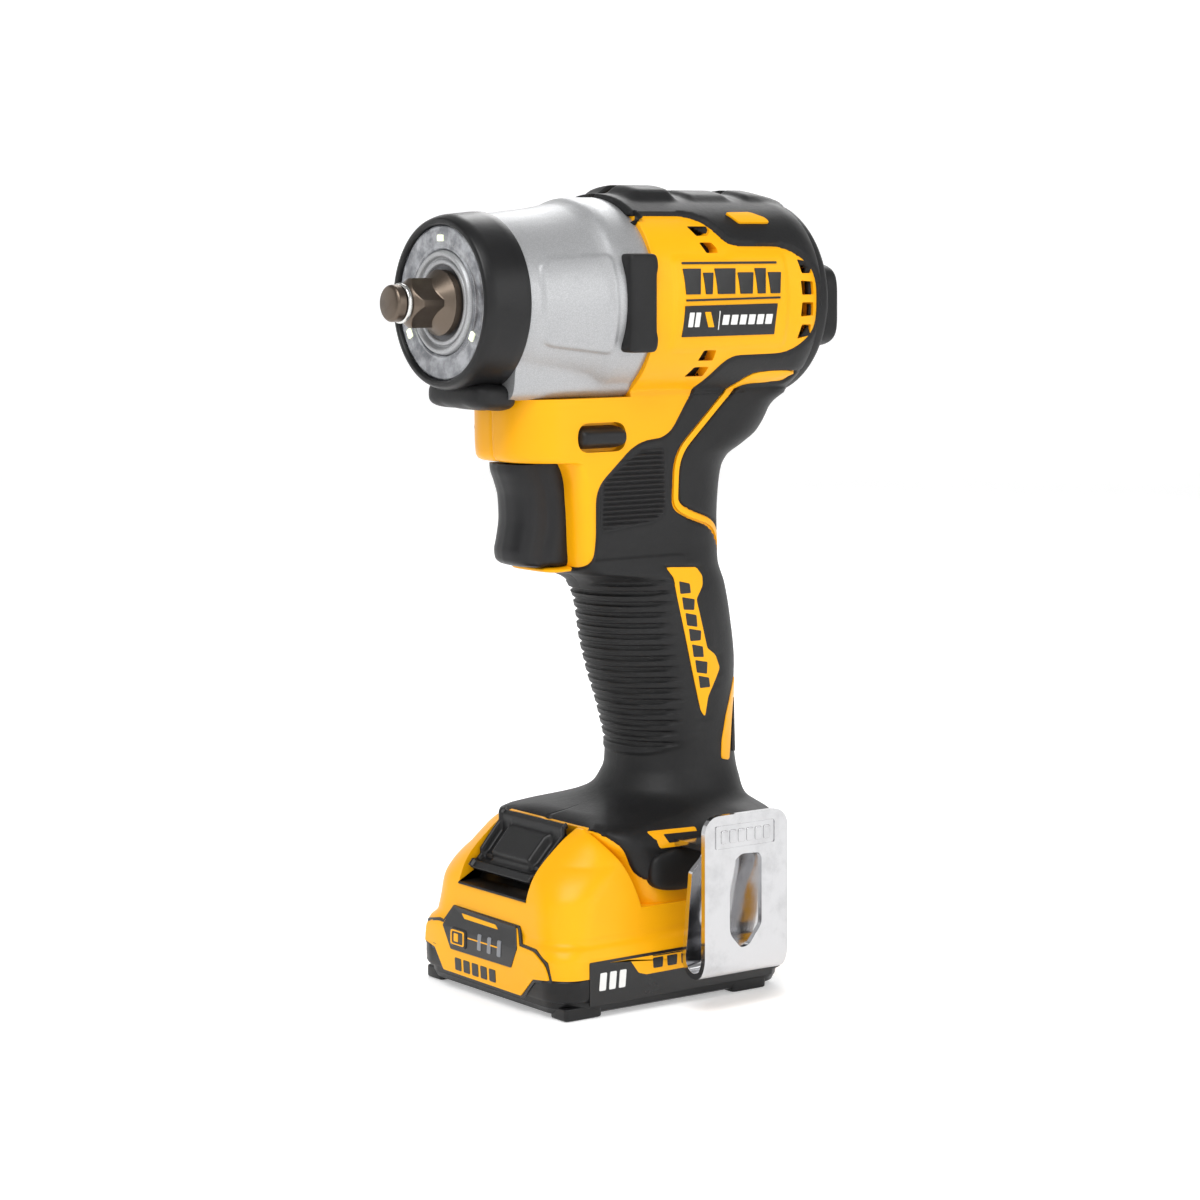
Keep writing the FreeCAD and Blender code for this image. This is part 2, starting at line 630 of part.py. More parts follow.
def make_housing():
    form = housing_form()
    gap = d.body_gap
    rooms = [
        rod("room_case", d.case_rear - 1.0, 4.8, 23.0),
        rod("room_motor", 4.0, 46.6, d.stator_radius),
        rod("room_bearing", 46.0, 51.0, d.bearing_radius),
        rod("room_shaft", 46.0, 52.2, 3.2),
        block("room_trigger", (-30.0, d.switch_front), (-d.trigger_half - gap, d.trigger_half + gap),
              (d.trigger_bottom - gap, d.trigger_top + gap)),
        block("room_switch", (d.switch_front, 14.0), (-9.0, 9.0), (107.0, 129.5)),
        block("room_wires", (2.0, 14.0), (-7.0, 7.0), (99.0, 107.5)),
        block("room_button", (-19.0, -5.0), (-30.0, 30.0), (133.7, 140.1)),
        loft("room_handle", grip_sections(d.grip_skin + 3.0)),
        block("room_neck", (9.0, 28.0), (-8.0, 8.0), (42.0, 60.0)),
        block("room_board", (-0.4, 33.4), (-16.2, 16.2), (36.0, 42.6)),
        block("room_rail", (-34.0, 34.4), (-22.0, 22.0), (d.foot_floor - 1.0, 36.0)),
    ]
    ledges = [block("rail_ledge_%d" % (side + 2), (-9.0, 34.4),
                    (19.8, 22.5) if side > 0 else (-22.5, -19.8), (28.2, 30.8)) for side in (-1, 1)]
    bosses = [rod_y("boss_%d" % k, -half, half, 3.2, x, z) for k, (x, z, half) in enumerate(SCREW_PLACES)]
    zone = cut("bumper_recess", bumper_zone("bumper_recess_zone", 2.0),
               rod("bumper_recess_core", -8.0, 60.0, d.bumper_seat))
    hollow = fuse("housing_solid", cut("housing_hollow", form, zone, *rooms), *ledges, *bosses)
    shanks = [rod_y("shank_hole_%d" % k, -8.0, 12.5, 1.5, x, z)
              for k, (x, z, half) in enumerate(SCREW_PLACES)]
    sinks = [rod_y("head_hole_%d" % k, 8.6, 40.0, 2.75, x, z) for k, (x, z, half) in enumerate(SCREW_PLACES)]
    hook_slot = block("hook_slot", (-0.3, 16.3), (-40.0, -24.0), (38.1, 39.9))
    hook_hole = rod_z("hook_screw_hole", 32.5, 44.0, 1.5, 8.0, -25.3)
    hook_sink = rod_z("hook_screw_sink", 20.0, 32.5, 2.7, 8.0, -25.3)
    case_clear = rod("case_clear", d.nose_step, d.case_rear, d.bulge_radius)
    machined = cut("housing_machined", hollow, *shanks, *sinks, hook_slot, hook_hole, hook_sink, case_clear,
                   *vents(-1), *vents(1))
    for label, y in (("housing_left", (-60.0, 0.0)), ("housing_right", (0.0, 60.0))):
        half = block(label + "_half", (-80.0, 80.0), y, (0.0, 220.0))
        node(label, common(label, machined, half))
    screws = []
    for k, (x, z, half) in enumerate(SCREW_PLACES):
        shank = rod_y("screw_shank_%d" % k, -8.0, 8.6, 1.5, x, z)
        head = rod_y("screw_head_%d" % k, 8.6, 11.0, 2.75, x, z)
        screws.append(fuse("screw_%d" % k, shank, head))
    node("housing_screws", group("housing_screws", *screws))


def make_overmoulds():
    """Rubber grip: a sleeve round the handle and a skin on each side of the core and the web."""
    inner = loft("grip_inside", grip_sections(d.grip_skin))
    outer = loft("grip_outside", grip_sections(Size(0.0)))
    sinks = [rod_y("grip_head_hole_%d" % k, 8.6, 40.0, 2.75, x, z)
             for k, (x, z, half) in enumerate(SCREW_PLACES)]
    core_room = prism("grip_core_room", "XZ_Plane", core_points(), d.core_half * 2)
    web_room = prism("grip_web_room", "XZ_Plane", web_points(), d.web_half * 2)
    sleeve = cut("grip_sleeve", outer, inner, core_room, web_room)
    skin_points = [(-15.8, 106.0), (-14.5, 122.0), (-11.0, 126.5), (0.0, 135.6), (8.4, 136.0), (19.0, 147.0),
                   (19.0, 99.0), (-4.0, 99.0)]
    for label, side, low, high in (("grip_left", -1, -60.0, 0.0), ("grip_right", 1, 0.0, 60.0)):
        room = block(label + "_half", (-80.0, 80.0), (low, high), (0.0, 220.0))
        half = common(label + "_sleeve", sleeve, room)
        skin = prism(label + "_skin", "XZ_Plane", skin_points, 1.5, y=side * (d.core_half + 0.75))
        web_skin = prism(label + "_web_skin", "XZ_Plane", web_points()[2:10] + [(20.0, 104.0), (20.0, 150.0)],
                         1.5, y=side * (d.web_half + 0.75))
        barrel = rod(label + "_barrel", d.case_rear, d.barrel_rear, d.barrel_radius)
        solids = [half, cut(label + "_skins", fuse(label + "_skin_pair", skin, web_skin), barrel)]
        form = fuse(label + "_form", *solids)
        node(label, cut(label, form, *sinks) if side > 0 else form)


def make_bumpers():
    shell = rod("bumper_shell", -2.0, d.barrel_taper, 27.0)
    taper = cone("bumper_taper", d.barrel_taper, 53.0, 27.0, 22.5)
    lumps = [block("bumper_lump_%d" % k, x, (-9.0, 9.0), (AXIS + 20.0, top))
             for k, (x, top) in enumerate((((4.0, 13.0), d.bumper_top), ((19.0, 30.0), d.bumper_top - 1.6),
                                           ((37.0, 47.0), d.bumper_top - 1.8)))]
    core = rod("bumper_core", -8.0, 50.0, d.bumper_seat)
    rear = rod("bumper_rear_core", 49.0, 60.0, 23.1)
    zone = bumper_zone("bumper_zone", 0.0)
    form = common("bumper_form", fuse("bumper_all", shell, taper, *lumps), zone)
    node("top_bumper", cut("top_bumper", form, core, rear))
    cap = cone("rear_cap", d.barrel_rear, 56.0, 23.1, 20.5)
    pad = rounded("rear_pad", block("rear_pad_block", (55.0, d.rear_end), (-21.0, 21.0), (160.6, 179.3)), 3.0,
                  Vector(0, 0, 1), lambda p: p.x > 59.0)
    room = rod("rear_cap_room", 49.0, 52.4, 7.5)
    node("rear_bumper", cut("rear_bumper", fuse("rear_all", cap, pad), room))
    pads = []
    for label, y in (("side_pad_left", (-27.2, -20.0)), ("side_pad_right", (20.0, 27.2))):
        pad_block = block(label + "_block", (-12.2, -3.7), y, (AXIS - 12.0, AXIS + 11.6))
        pads.append(cut(label, pad_block, rod(label + "_case", -13.0, -3.0, d.bulge_radius)))
    node("side_pads", group("side_pads", *pads))
    low = rounded("lower_bumper_round", block("lower_bumper_block", (-46.4, -37.6), (-12.0, 12.0),
                                              (d.case_bottom - 1.9, AXIS - 19.0)), 6.0, Vector(0, 0, 1),
                  lambda p: p.x < -46.0)
    low_room = rod("lower_bumper_room", -50.0, -37.0, 21.1)
    tongue = block("lower_bumper_tongue", (-42.0, -33.0), (-9.0, 9.0), (d.case_bottom - 1.9, d.case_bottom))
    tongue_room = prism("tongue_room", "XZ_Plane", core_points(), 60.0)
    node("lower_bumper", cut("lower_bumper", fuse("lower_all", low, tongue), low_room, tongue_room))
    panels = [block("name_panel_%d" % k, (4.0, 36.0), y, (161.5, 178.5))
              for k, y in enumerate(((-26.2, -d.barrel_radius), (d.barrel_radius, 26.2)))]
    node("name_panels", group("name_panels", *panels))


# ---------------------------------------------------------------------------
# Controls.
# ---------------------------------------------------------------------------

def make_controls():
    side = prism("trigger_side", "XZ_Plane", [
        (-31.4, d.trigger_top), (-31.0, 125.0), (-29.6, 118.5), (-29.6, 113.0), (-30.6, 107.5),
        (-29.5, d.trigger_bottom), (d.trigger_back, d.trigger_bottom), (d.trigger_back, d.trigger_top)],
        d.trigger_half * 2)
    half = d.trigger_half
    plan = prism("trigger_plan", "XY_Plane", [
        (-31.6, -2.0), (-30.6, 2.0 - half), (-28.8, 0.9 - half), (-25.6, -half), (-10.0, -half),
        (-10.0, half), (-25.6, half), (-28.8, half - 0.9), (-30.6, half - 2.0), (-31.6, 2.0)], 60.0, z=118.0)
    stem = rod("trigger_stem", d.trigger_back - 1.0, 0.0, 2.5, z=119.0)
    node("trigger", fuse("trigger", common("trigger_blade", side, plan), stem))
    switch = block("switch_block", (d.switch_front, 14.0), (-9.0, 9.0), (107.0, 129.5))
    switch_bore = rod("switch_bore", d.switch_front, 7.5, 2.5 + d.running_gap, z=119.0)
    node("switch_body", cut("switch_body", switch, switch_bore))
    node("trigger_spring", coil_spring("trigger_spring", 3.9, 0.4, 1.4, 5.4, -12.9, 0.0, 119.0, ALONG_X))
    bar = block("button_bar", (-18.7, -5.3), (-17.6, 17.6), (134.0, 139.8))
    node("direction_button", rounded("direction_button", bar, 2.8, Vector(0, 1, 0)))
    wires = []
    for index, y in enumerate((-4.0, 0.0, 4.0)):
        wire = cylinder("wire_%d" % index, 1.0, 62.8, 12.8, y, 43.8, Rotation(Vector(0, 1, 0), -2.3))
        wires.append(wire)
    node("power_wires", group("power_wires", *wires))
    node("control_board", block("control_board", (0.0, 14.6), (-16.0, 16.0), (37.0, 42.2)))


# ---------------------------------------------------------------------------
# Battery.
# ---------------------------------------------------------------------------

def cover_points():
    half = d.pack_half_length
    return [(-half, d.tray_top), (half, d.tray_top), (half, d.pack_shoulder), (-10.2, d.pack_shoulder),
            (-14.0, 34.4), (-18.1, 40.9), (-20.4, 42.1), (-24.0, 40.4), (-30.0, 35.0), (-34.2, 28.0),
            (-half, 21.0)]


BLADES = (-12.0, -4.0, 4.0, 12.0)


def make_battery():
    half_x = d.pack_half_length
    half_y = d.pack_half_width
    wall = d.pack_wall
    tray_block = block("tray_block", (-half_x, half_x), (-half_y, half_y), (0.0, d.tray_top))
    tray_form = rounded("tray_form", tray_block, 5.0, Vector(0, 0, 1))
    cavity = block("tray_cavity", (wall - half_x, half_x - wall), (wall - half_y, half_y - wall),
                   (2.0, d.tray_top + 1.0))
    node("battery_tray", cut("battery_tray", tray_form, cavity))

    shoulders = prism("cover_side", "XZ_Plane", cover_points(), half_y * 2)
    plan_block = block("cover_plan_block", (-half_x, half_x), (-half_y, half_y), (d.tray_top, 60.0))
    plan = rounded("cover_plan", plan_block, 5.0, Vector(0, 0, 1))
    front = prism("cover_front", "YZ_Plane", [
        (-half_y, 9.0), (half_y, 9.0), (half_y, 17.0), (half_y - 1.5, 21.0), (29.0, 29.0), (27.0, 35.0),
        (22.0, 40.0), (17.0, 43.0), (-17.0, 43.0), (-22.0, 40.0), (-27.0, 35.0), (-29.0, 29.0),
        (1.5 - half_y, 21.0), (-half_y, 17.0)], 160.0)
    shell = common("cover_form", shoulders, plan, front)
    rail = block("rail", (-14.0, 33.6), (-d.rail_half, d.rail_half), (22.0, d.rail_top))
    grooves = [block("rail_groove_%d" % (side + 2), (-21.6, 34.0),
                     (19.4, 21.6) if side > 0 else (-21.6, -19.4), (27.9, 31.1)) for side in (-1, 1)]
    cells_room = block("cells_room", (wall - half_x, half_x - wall), (wall - half_y, half_y - wall),
                       (d.tray_top - 1.0, 21.4))
    board_room = block("board_room", (-15.0, 12.0), (-17.0, 17.0), (21.0, 31.6))
    slots = [block("blade_slot_%d" % k, (14.0, 34.0), (y - 0.9, y + 0.9), (31.9, 36.0))
             for k, y in enumerate(BLADES)]
    latch_room = block("latch_room", (-40.0, -19.2), (-d.latch_half - 0.4, d.latch_half + 0.4), (22.1, 48.0))
    button_room = block("gauge_room", (-38.0, -34.4), (6.7, 14.3), (11.0, 16.0))
    cover = cut("battery_cover", fuse("cover_all", shell, rail), *grooves, cells_room, board_room, *slots,
                latch_room, button_room)
    node("battery_cover", cover)

    cells = [rod("cell_%d" % k, -d.cell_length / 2, d.cell_length / 2, d.cell_radius,
                 y=d.cell_pitch * k, z=d.cell_radius + 2.2) for k in (-1, 0, 1)]
    node("battery_cells", group("battery_cells", *cells))
    combs = []
    for index, x in enumerate((-26.0, 20.0)):
        comb = block("comb_block_%d" % index, (x, x + 6.0), (-28.3, 28.3), (2.0, 21.2))
        holes = [rod("comb_hole_%d_%d" % (index, k + 1), x - 1.0, x + 7.0, d.cell_radius + 0.05,
                     y=d.cell_pitch * k, z=d.cell_radius + 2.2) for k in (-1, 0, 1)]
        combs.append(cut("comb_%d" % index, comb, *holes))
    node("cell_holders", group("cell_holders", *combs))
    node("battery_board", block("battery_board", (-14.6, 11.0), (-16.5, 16.5), (21.6, 23.2)))
    clips = []
    for k, y in enumerate(BLADES):
        for side in (-1, 1):
            low = y + side * 0.68 - 0.17
            clips.append(block("clip_%d_%d" % (k, side + 2), (16.0, 26.0), (low, low + 0.34), (31.9, 35.4)))
    node("battery_contacts", group("battery_contacts", *clips))

    terminal = block("terminal_base", (15.0, 33.0), (-16.0, 16.0), (36.2, 41.6))
    blades = [block("blade_%d" % k, (17.0, 31.0), (y - 0.4, y + 0.4), (32.6, 36.4))
              for k, y in enumerate(BLADES)]
    node("terminal_block", fuse("terminal_block", terminal, *blades))

    latch_points = [(-33.6, 26.0), (-20.6, 40.4), (-19.6, 40.4), (-19.6, 28.4), (-29.0, 28.4), (-30.0, 26.0)]
    node("battery_latch", prism("battery_latch", "XZ_Plane", latch_points, d.latch_half * 2))
    node("latch_spring", coil_spring("latch_spring", 1.6, 0.3, 1.3, 5.4, -24.0, 0.0, 22.5, Rotation()))

    panel = block("front_panel_block", (-half_x - 0.8, -half_x), (-24.0, 24.0), (2.5, 19.0))
    panel_hole = block("front_panel_hole", (-half_x - 1.0, -half_x + 0.1), (6.7, 14.3), (11.0, 16.0))
    node("gauge_button", block("gauge_button", (-half_x - 1.2, -34.9), (7.0, 14.0), (11.3, 15.7)))
    bars = [block("bar_%d" % k, (-half_x - 1.0, -half_x - 0.8), (y - 1.1, y + 1.1), (11.4, 16.0))
            for k, y in enumerate((1.4, -2.8, -7.0))]
    node("gauge_lights", group("gauge_lights", *bars))
    labels = [block("side_label_%d" % k, (-27.0, 3.0), y, (3.0, 13.7))
              for k, y in enumerate(((-half_y - 0.3, -half_y), (half_y, half_y + 0.3)))]
    node("battery_labels", group("battery_labels", cut("front_panel", panel, panel_hole), *labels))


# ---------------------------------------------------------------------------
# Belt hook.
# ---------------------------------------------------------------------------

def make_hook():
    plate = d.hook_plate
    sheet_gap = d.hook_sheet
    points = [(plate, d.hook_top), (plate, 11.2), (plate + 2.3, d.hook_bottom), (-39.2, d.hook_bottom),
              (-36.9, 11.2), (-39.3, 38.3), (-26.5, 38.3), (-26.5, 38.3 + sheet_gap),
              (-40.8, 38.3 + sheet_gap), (-38.4, 11.9), (-39.9, d.hook_bottom + sheet_gap), (-42.8, d.hook_bottom + sheet_gap),
              (plate + sheet_gap, 11.8), (plate + sheet_gap, d.hook_top)]
    strip = prism("hook_strip", "YZ_Plane", points, d.hook_rear - d.hook_front,
                  x=(d.hook_rear + d.hook_front) / 2)
    slot = block("hook_window", (5.0, 12.0), (-47.0, -43.5), (13.5, 33.0))
    trim_front = block("hook_trim_front", (d.hook_front - 1.0, 0.0), (-38.9, -20.0), (36.0, 42.0))
    trim_rear = block("hook_trim_rear", (16.0, d.hook_rear + 1.0), (-38.9, -20.0), (36.0, 42.0))
    node("belt_hook", cut("belt_hook", strip, slot, trim_front, trim_rear))
    node("hook_pad", rounded("hook_pad", block("hook_pad_block", (-7.5, 22.0), (-30.2, -28.5), (25.8, 36.4)),
                             5.0, Vector(0, 1, 0)))
    head = rod_z("hook_screw_head", 30.6, 32.5, 2.7, 8.0, -25.3)
    shank = rod_z("hook_screw_shank", 32.5, 38.0, 1.5, 8.0, -25.3)
    node("belt_hook_screw", fuse("belt_hook_screw", head, shank))


# ---------------------------------------------------------------------------

make_anvil()
make_hammer()
make_camshaft()
make_gears()
make_nose()
make_motor()
make_housing()
make_overmoulds()
make_bumpers()
make_controls()
make_battery()
make_hook()
doc.recompute()

problems = [obj.Name for obj in doc.Objects if "Invalid" in obj.State or "Error" in obj.State]
problems += [obj.Label for obj in nodes
             if obj.Shape.isNull() or not obj.Shape.isValid() or not obj.Shape.Solids]
if problems:
    raise RuntimeError("failed objects: " + ", ".join(problems))

os.makedirs("parts", exist_ok=True)
for obj in nodes:
    obj.Shape.exportStep("parts/%s.step" % obj.Label)
    box = obj.Shape.BoundBox
    print("%-20s solids %2d volume %9.1f  X %6.1f %6.1f  Y %6.1f %6.1f  Z %6.1f %6.1f" % (
        obj.Label, len(obj.Shape.Solids), obj.Shape.Volume, box.XMin, box.XMax, box.YMin, box.YMax,
        box.ZMin, box.ZMax))
print(len(nodes), "sub-parts")
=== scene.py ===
"""Looks of a compact cordless impact wrench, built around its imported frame. Sizes are in millimetres."""

import logging
import math
from dataclasses import dataclass
from enum import Enum
from typing import Callable, Optional, Union

import bmesh
import bpy
import numpy as np
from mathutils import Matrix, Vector


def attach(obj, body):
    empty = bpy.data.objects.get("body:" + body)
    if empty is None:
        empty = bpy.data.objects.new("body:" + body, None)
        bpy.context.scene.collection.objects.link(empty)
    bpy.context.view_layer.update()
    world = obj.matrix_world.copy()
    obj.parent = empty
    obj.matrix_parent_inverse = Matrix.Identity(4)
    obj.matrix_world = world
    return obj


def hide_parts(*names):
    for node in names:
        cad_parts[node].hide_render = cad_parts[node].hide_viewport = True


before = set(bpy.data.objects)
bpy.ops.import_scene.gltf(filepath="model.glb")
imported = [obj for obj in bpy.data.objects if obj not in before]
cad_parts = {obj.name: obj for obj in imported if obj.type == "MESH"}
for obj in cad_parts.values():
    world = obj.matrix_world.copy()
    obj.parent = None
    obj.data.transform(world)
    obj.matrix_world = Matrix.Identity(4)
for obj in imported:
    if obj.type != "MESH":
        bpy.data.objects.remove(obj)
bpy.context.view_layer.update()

Array = np.ndarray
Point = tuple[float, ...]
Colour = tuple[float, float, float]
MM = 0.001
SHARP = 34.0
log = logging.getLogger("impact_wrench")


# ---------------------------------------------------------------- curves and outlines

def curve(knots: list[tuple[float, float]], at: Union[float, Array]) -> Array:
    """Smooth curve through knots that never overshoots: cubic pieces with harmonic-mean slopes.

    Args:
        knots: (position, value) pairs in order of position.
        at: Positions to read; they are held inside the first and last knot.

    Returns:
        The values at those positions.
    """
    place, value = np.array(knots, float).T
    step = np.diff(place)
    slope = np.diff(value) / step
    tangent = np.concatenate(([slope[0]], np.zeros(len(place) - 2), [slope[-1]]))
    before, after = slope[:-1], slope[1:]
    same = before * after > 0
    first = 2 * step[1:] + step[:-1]
    second = step[1:] + 2 * step[:-1]
    mean = (first + second) / (first / np.where(same, before, 1) + second / np.where(same, after, 1))
    tangent[1:-1] = np.where(same, mean, 0)
    at = np.clip(at, place[0], place[-1])
    left = np.clip(np.searchsorted(place, at, side="right") - 1, 0, len(place) - 2)
    t = (at - place[left]) / step[left]
    rise = (t * t * (3 - 2 * t))
    return (value[left] + (value[left + 1] - value[left]) * rise
            + step[left] * (t * (1 - t) ** 2 * tangent[left] - t * t * (1 - t) * tangent[left + 1]))


def smooth(low: float, high: float, at: Array) -> Array:
    """Rises from 0 at low to 1 at high as 3t^2 - 2t^3."""
    t = np.clip((at - low) / (high - low), 0, 1)
    return t * t * (3 - 2 * t)


def soft_max(a: Array, b: Array, blend: float) -> Array:
    """The larger of two values, with the corner between them rounded over a distance of blend."""
    near = np.clip(blend - np.abs(a - b), 0, None) / blend
    return np.maximum(a, b) + near * near * blend / 4


def rounded(points: list[Point], radius: float = 1.0, steps: int = 6) -> Array:
    """Outline whose corners are turned by parabolic arcs.

    Args:
        points: Corners (a, b) or (a, b, radius) in order.
        radius: Radius of the corners that name none.
        steps: Points along each corner.

    Returns:
        An array of points, one row each.
    """
    corner = np.array([p[:2] for p in points], float)
    size = np.array([p[2] if len(p) > 2 else radius for p in points])
    back = np.roll(corner, 1, 0) - corner
    ahead = np.roll(corner, -1, 0) - corner
    back_long, ahead_long = np.linalg.norm(back, axis=1), np.linalg.norm(ahead, axis=1)
    reach = np.minimum(size, 0.48 * np.minimum(back_long, ahead_long))
    start = corner + back * (reach / back_long)[:, None]
    end = corner + ahead * (reach / ahead_long)[:, None]
    t = np.linspace(0, 1, steps)[None, :, None]
    arc = start[:, None] * (1 - t) ** 2 + corner[:, None] * 2 * t * (1 - t) + end[:, None] * t * t
    return arc.reshape(-1, 2)


def depth_inside(a: Array, b: Array, outline: Array) -> Array:
    """Distance to an outline, positive inside it: the nearest edge, with the side from counted crossings.

    Args:
        a: First coordinates of the points.
        b: Second coordinates of the points.
        outline: Corners of the closed outline.

    Returns:
        Signed distances, shaped as a.
    """
    nearest = np.full(a.shape, 1e9)
    inside = np.zeros(a.shape, bool)
    for (a0, b0), (a1, b1) in zip(outline, np.roll(outline, -1, 0)):
        da, db = a1 - a0, b1 - b0
        along = np.clip(((a - a0) * da + (b - b0) * db) / max(da * da + db * db, 1e-12), 0, 1)
        nearest = np.minimum(nearest, np.hypot(a - a0 - along * da, b - b0 - along * db))
        crosses = (b0 > b) != (b1 > b)
        inside ^= crosses & (a < a0 + da * (b - b0) / (db if abs(db) > 1e-12 else 1e-12))
    return np.where(inside, nearest, -nearest)


def depth_in_slot(a: Array, b: Array, ends: tuple[Point, Point], half: float) -> Array:
    """Distance inside a straight slot with round ends: half its height less the distance to its middle line."""
    (a0, b0), (a1, b1) = ends
    along = np.clip(((a - a0) * (a1 - a0) + (b - b0) * (b1 - b0)) / ((a1 - a0) ** 2 + (b1 - b0) ** 2), 0, 1)
    return half - np.hypot(a - a0 - along * (a1 - a0), b - b0 - along * (b1 - b0))


# ---------------------------------------------------------------- surfaces to meshes

def bulk(points: Array) -> float:
    """Signed volume under a grid of points, from the cross products of its cells' diagonals."""
    middle = points.reshape(-1, 3).mean(0)
    p = points - middle
    one = p[1:, 1:] - p[:-1, :-1]
    two = p[1:, :-1] - p[:-1, 1:]
    centre = (p[1:, 1:] + p[:-1, :-1] + p[1:, :-1] + p[:-1, 1:]) / 4
    return float((np.cross(one, two) * centre).sum())


def wrapped(points: Array) -> Array:
    """The grid with its first column repeated at its end."""
    return np.concatenate([points, points[:, :1]], 1)


def lifted(points: Array, amount: Union[float, Array], closed: bool = True) -> Array:
    """The grid moved along its outward normals: the cross product of central differences.

    Args:
        points: Grid of points, rows by columns by 3.
        amount: How far, one number or one per point.
        closed: Whether the columns close into a ring.

    Returns:
        The moved grid.
    """
    if closed:
        across = np.roll(points, -1, 1) - np.roll(points, 1, 1)
    else:
        across = np.gradient(points, axis=1)
    normal = np.cross(np.gradient(points, axis=0), across)
    long = np.linalg.norm(normal, axis=2, keepdims=True)
    normal = normal / np.maximum(long, 1e-9)
    full = wrapped(points) if closed else points
    sign = -1.0 if bulk(full) > 0 else 1.0
    return points + normal * sign * np.asarray(amount)[..., None]


def mesh_of(name: str, points: Array, closed: bool = True, caps: bool = True,
            keep: Optional[Array] = None, sharp: float = SHARP) -> bpy.types.Object:
    """Turns a grid of points into a mesh of four-sided faces that look outwards.

    Args:
        name: Name of the piece.
        points: Grid, rows by columns by 3, in millimetres.
        closed: Whether each row closes into a ring.
        caps: Whether the first and last rings are closed by fans to their middles.
        keep: Which grid points stay; a face needs all four of its corners.
        sharp: Angle in degrees past which an edge is drawn sharp.

    Returns:
        The new object, at the origin.
    """
    rows, columns = points.shape[:2]
    row, column = np.meshgrid(np.arange(rows - 1), np.arange(columns if closed else columns - 1), indexing="ij")
    following = (column + 1) % columns
    quads = np.stack([row * columns + column, row * columns + following,
                      (row + 1) * columns + following, (row + 1) * columns + column], -1).reshape(-1, 4)
    vertices = points.reshape(-1, 3)
    outward = bulk(wrapped(points) if closed else points) > 0
    if keep is not None:
        quads = quads[keep.reshape(-1)[quads].all(1)]
    faces = quads if outward else quads[:, ::-1]
    parts = [faces]
    if caps and closed:
        ring = np.arange(columns)
        count = len(vertices)
        ends = ((0, points[0].mean(0), True), ((rows - 1) * columns, points[-1].mean(0), False))
        for start, centre, turned in ends:
            fan = np.stack([start + ring, start + (ring + 1) % columns, np.full(columns, count)], -1)
            parts.append(fan if turned != outward else fan[:, ::-1])
            vertices = np.concatenate([vertices, centre[None]])
            count += 1
    used = np.unique(np.concatenate([p.reshape(-1) for p in parts]))
    number = np.full(len(vertices), -1)
    number[used] = np.arange(len(used))
    mesh = bpy.data.meshes.new(name)
    mesh.from_pydata((vertices[used] * MM).tolist(), [], [f for p in parts for f in number[p].tolist()])
    mesh.validate()
    mesh.polygons.foreach_set("use_smooth", np.ones(len(mesh.polygons), bool))
    mesh.set_sharp_from_angle(angle=math.radians(sharp))
    piece = bpy.data.objects.new(name, mesh)
    bpy.context.scene.collection.objects.link(piece)
    return piece


def baked(piece: bpy.types.Object) -> bpy.types.Object:
    """Applies the piece's modifiers to its mesh."""
    graph = bpy.context.evaluated_depsgraph_get()
    mesh = bpy.data.meshes.new_from_object(piece.evaluated_get(graph))
    old = piece.data
    piece.modifiers.clear()
    piece.data = mesh
    bpy.data.meshes.remove(old)
    return piece


def thickened(piece: bpy.types.Object, wall: float) -> bpy.types.Object:
    """Closes an open skin by giving it a wall inwards, in millimetres."""
    solid = piece.modifiers.new("wall", "SOLIDIFY")
    solid.thickness = wall * MM
    solid.offset = -1
    solid.use_rim = True
    return baked(piece)


def merged(name: str, pieces: list[bpy.types.Object]) -> bpy.types.Object:
    """Joins several new pieces of one finish into one named piece.

    Args:
        name: Name of the joined piece.
        pieces: The pieces, which are used up.

    Returns:
        The joined piece.
    """
    mesh = bpy.data.meshes.new(name)
    corners, faces, shift = [], [], 0
    for piece in pieces:
        old = piece.data
        place = np.empty(len(old.vertices) * 3)
        old.vertices.foreach_get("co", place)
        corners.append(place.reshape(-1, 3))
        faces += [[v + shift for v in face.vertices] for face in old.polygons]
        shift += len(old.vertices)
        bpy.data.objects.remove(piece)
        bpy.data.meshes.remove(old)
    mesh.from_pydata(np.concatenate(corners).tolist(), [], faces)
    mesh.polygons.foreach_set("use_smooth", np.ones(len(mesh.polygons), bool))
    mesh.set_sharp_from_angle(angle=math.radians(SHARP))
    joined = bpy.data.objects.new(name, mesh)
    bpy.context.scene.collection.objects.link(joined)
    return joined


def carved(piece: bpy.types.Object, cutter: bpy.types.Object) -> bpy.types.Object:
    """Takes one closed piece out of another and throws the cutter away."""
    cut = piece.modifiers.new("cut", "BOOLEAN")
    cut.operation = "DIFFERENCE"
    cut.solver = "EXACT"
    cut.object = cutter
    baked(piece)
    bpy.data.objects.remove(cutter)
    piece.data.set_sharp_from_angle(angle=math.radians(SHARP))
    return piece


def turned(name: str, profile: Array, height: float, around: int = 128) -> bpy.types.Object:
    """Surface turned about the tool's long axis: a profile of (x, radius) carried round a circle.

    Args:
        name: Name of the piece.
        profile: Rows of (x, radius).
        height: Height of the axis.
        around: Points round the circle.

    Returns:
        The closed piece.
    """
    angle = np.linspace(0, 2 * math.pi, around, endpoint=False)
    x, radius = np.asarray(profile, float).T
    points = np.stack([np.repeat(x[:, None], around, 1), radius[:, None] * np.sin(angle),
                       height + radius[:, None] * np.cos(angle)], -1)
    return mesh_of(name, points)


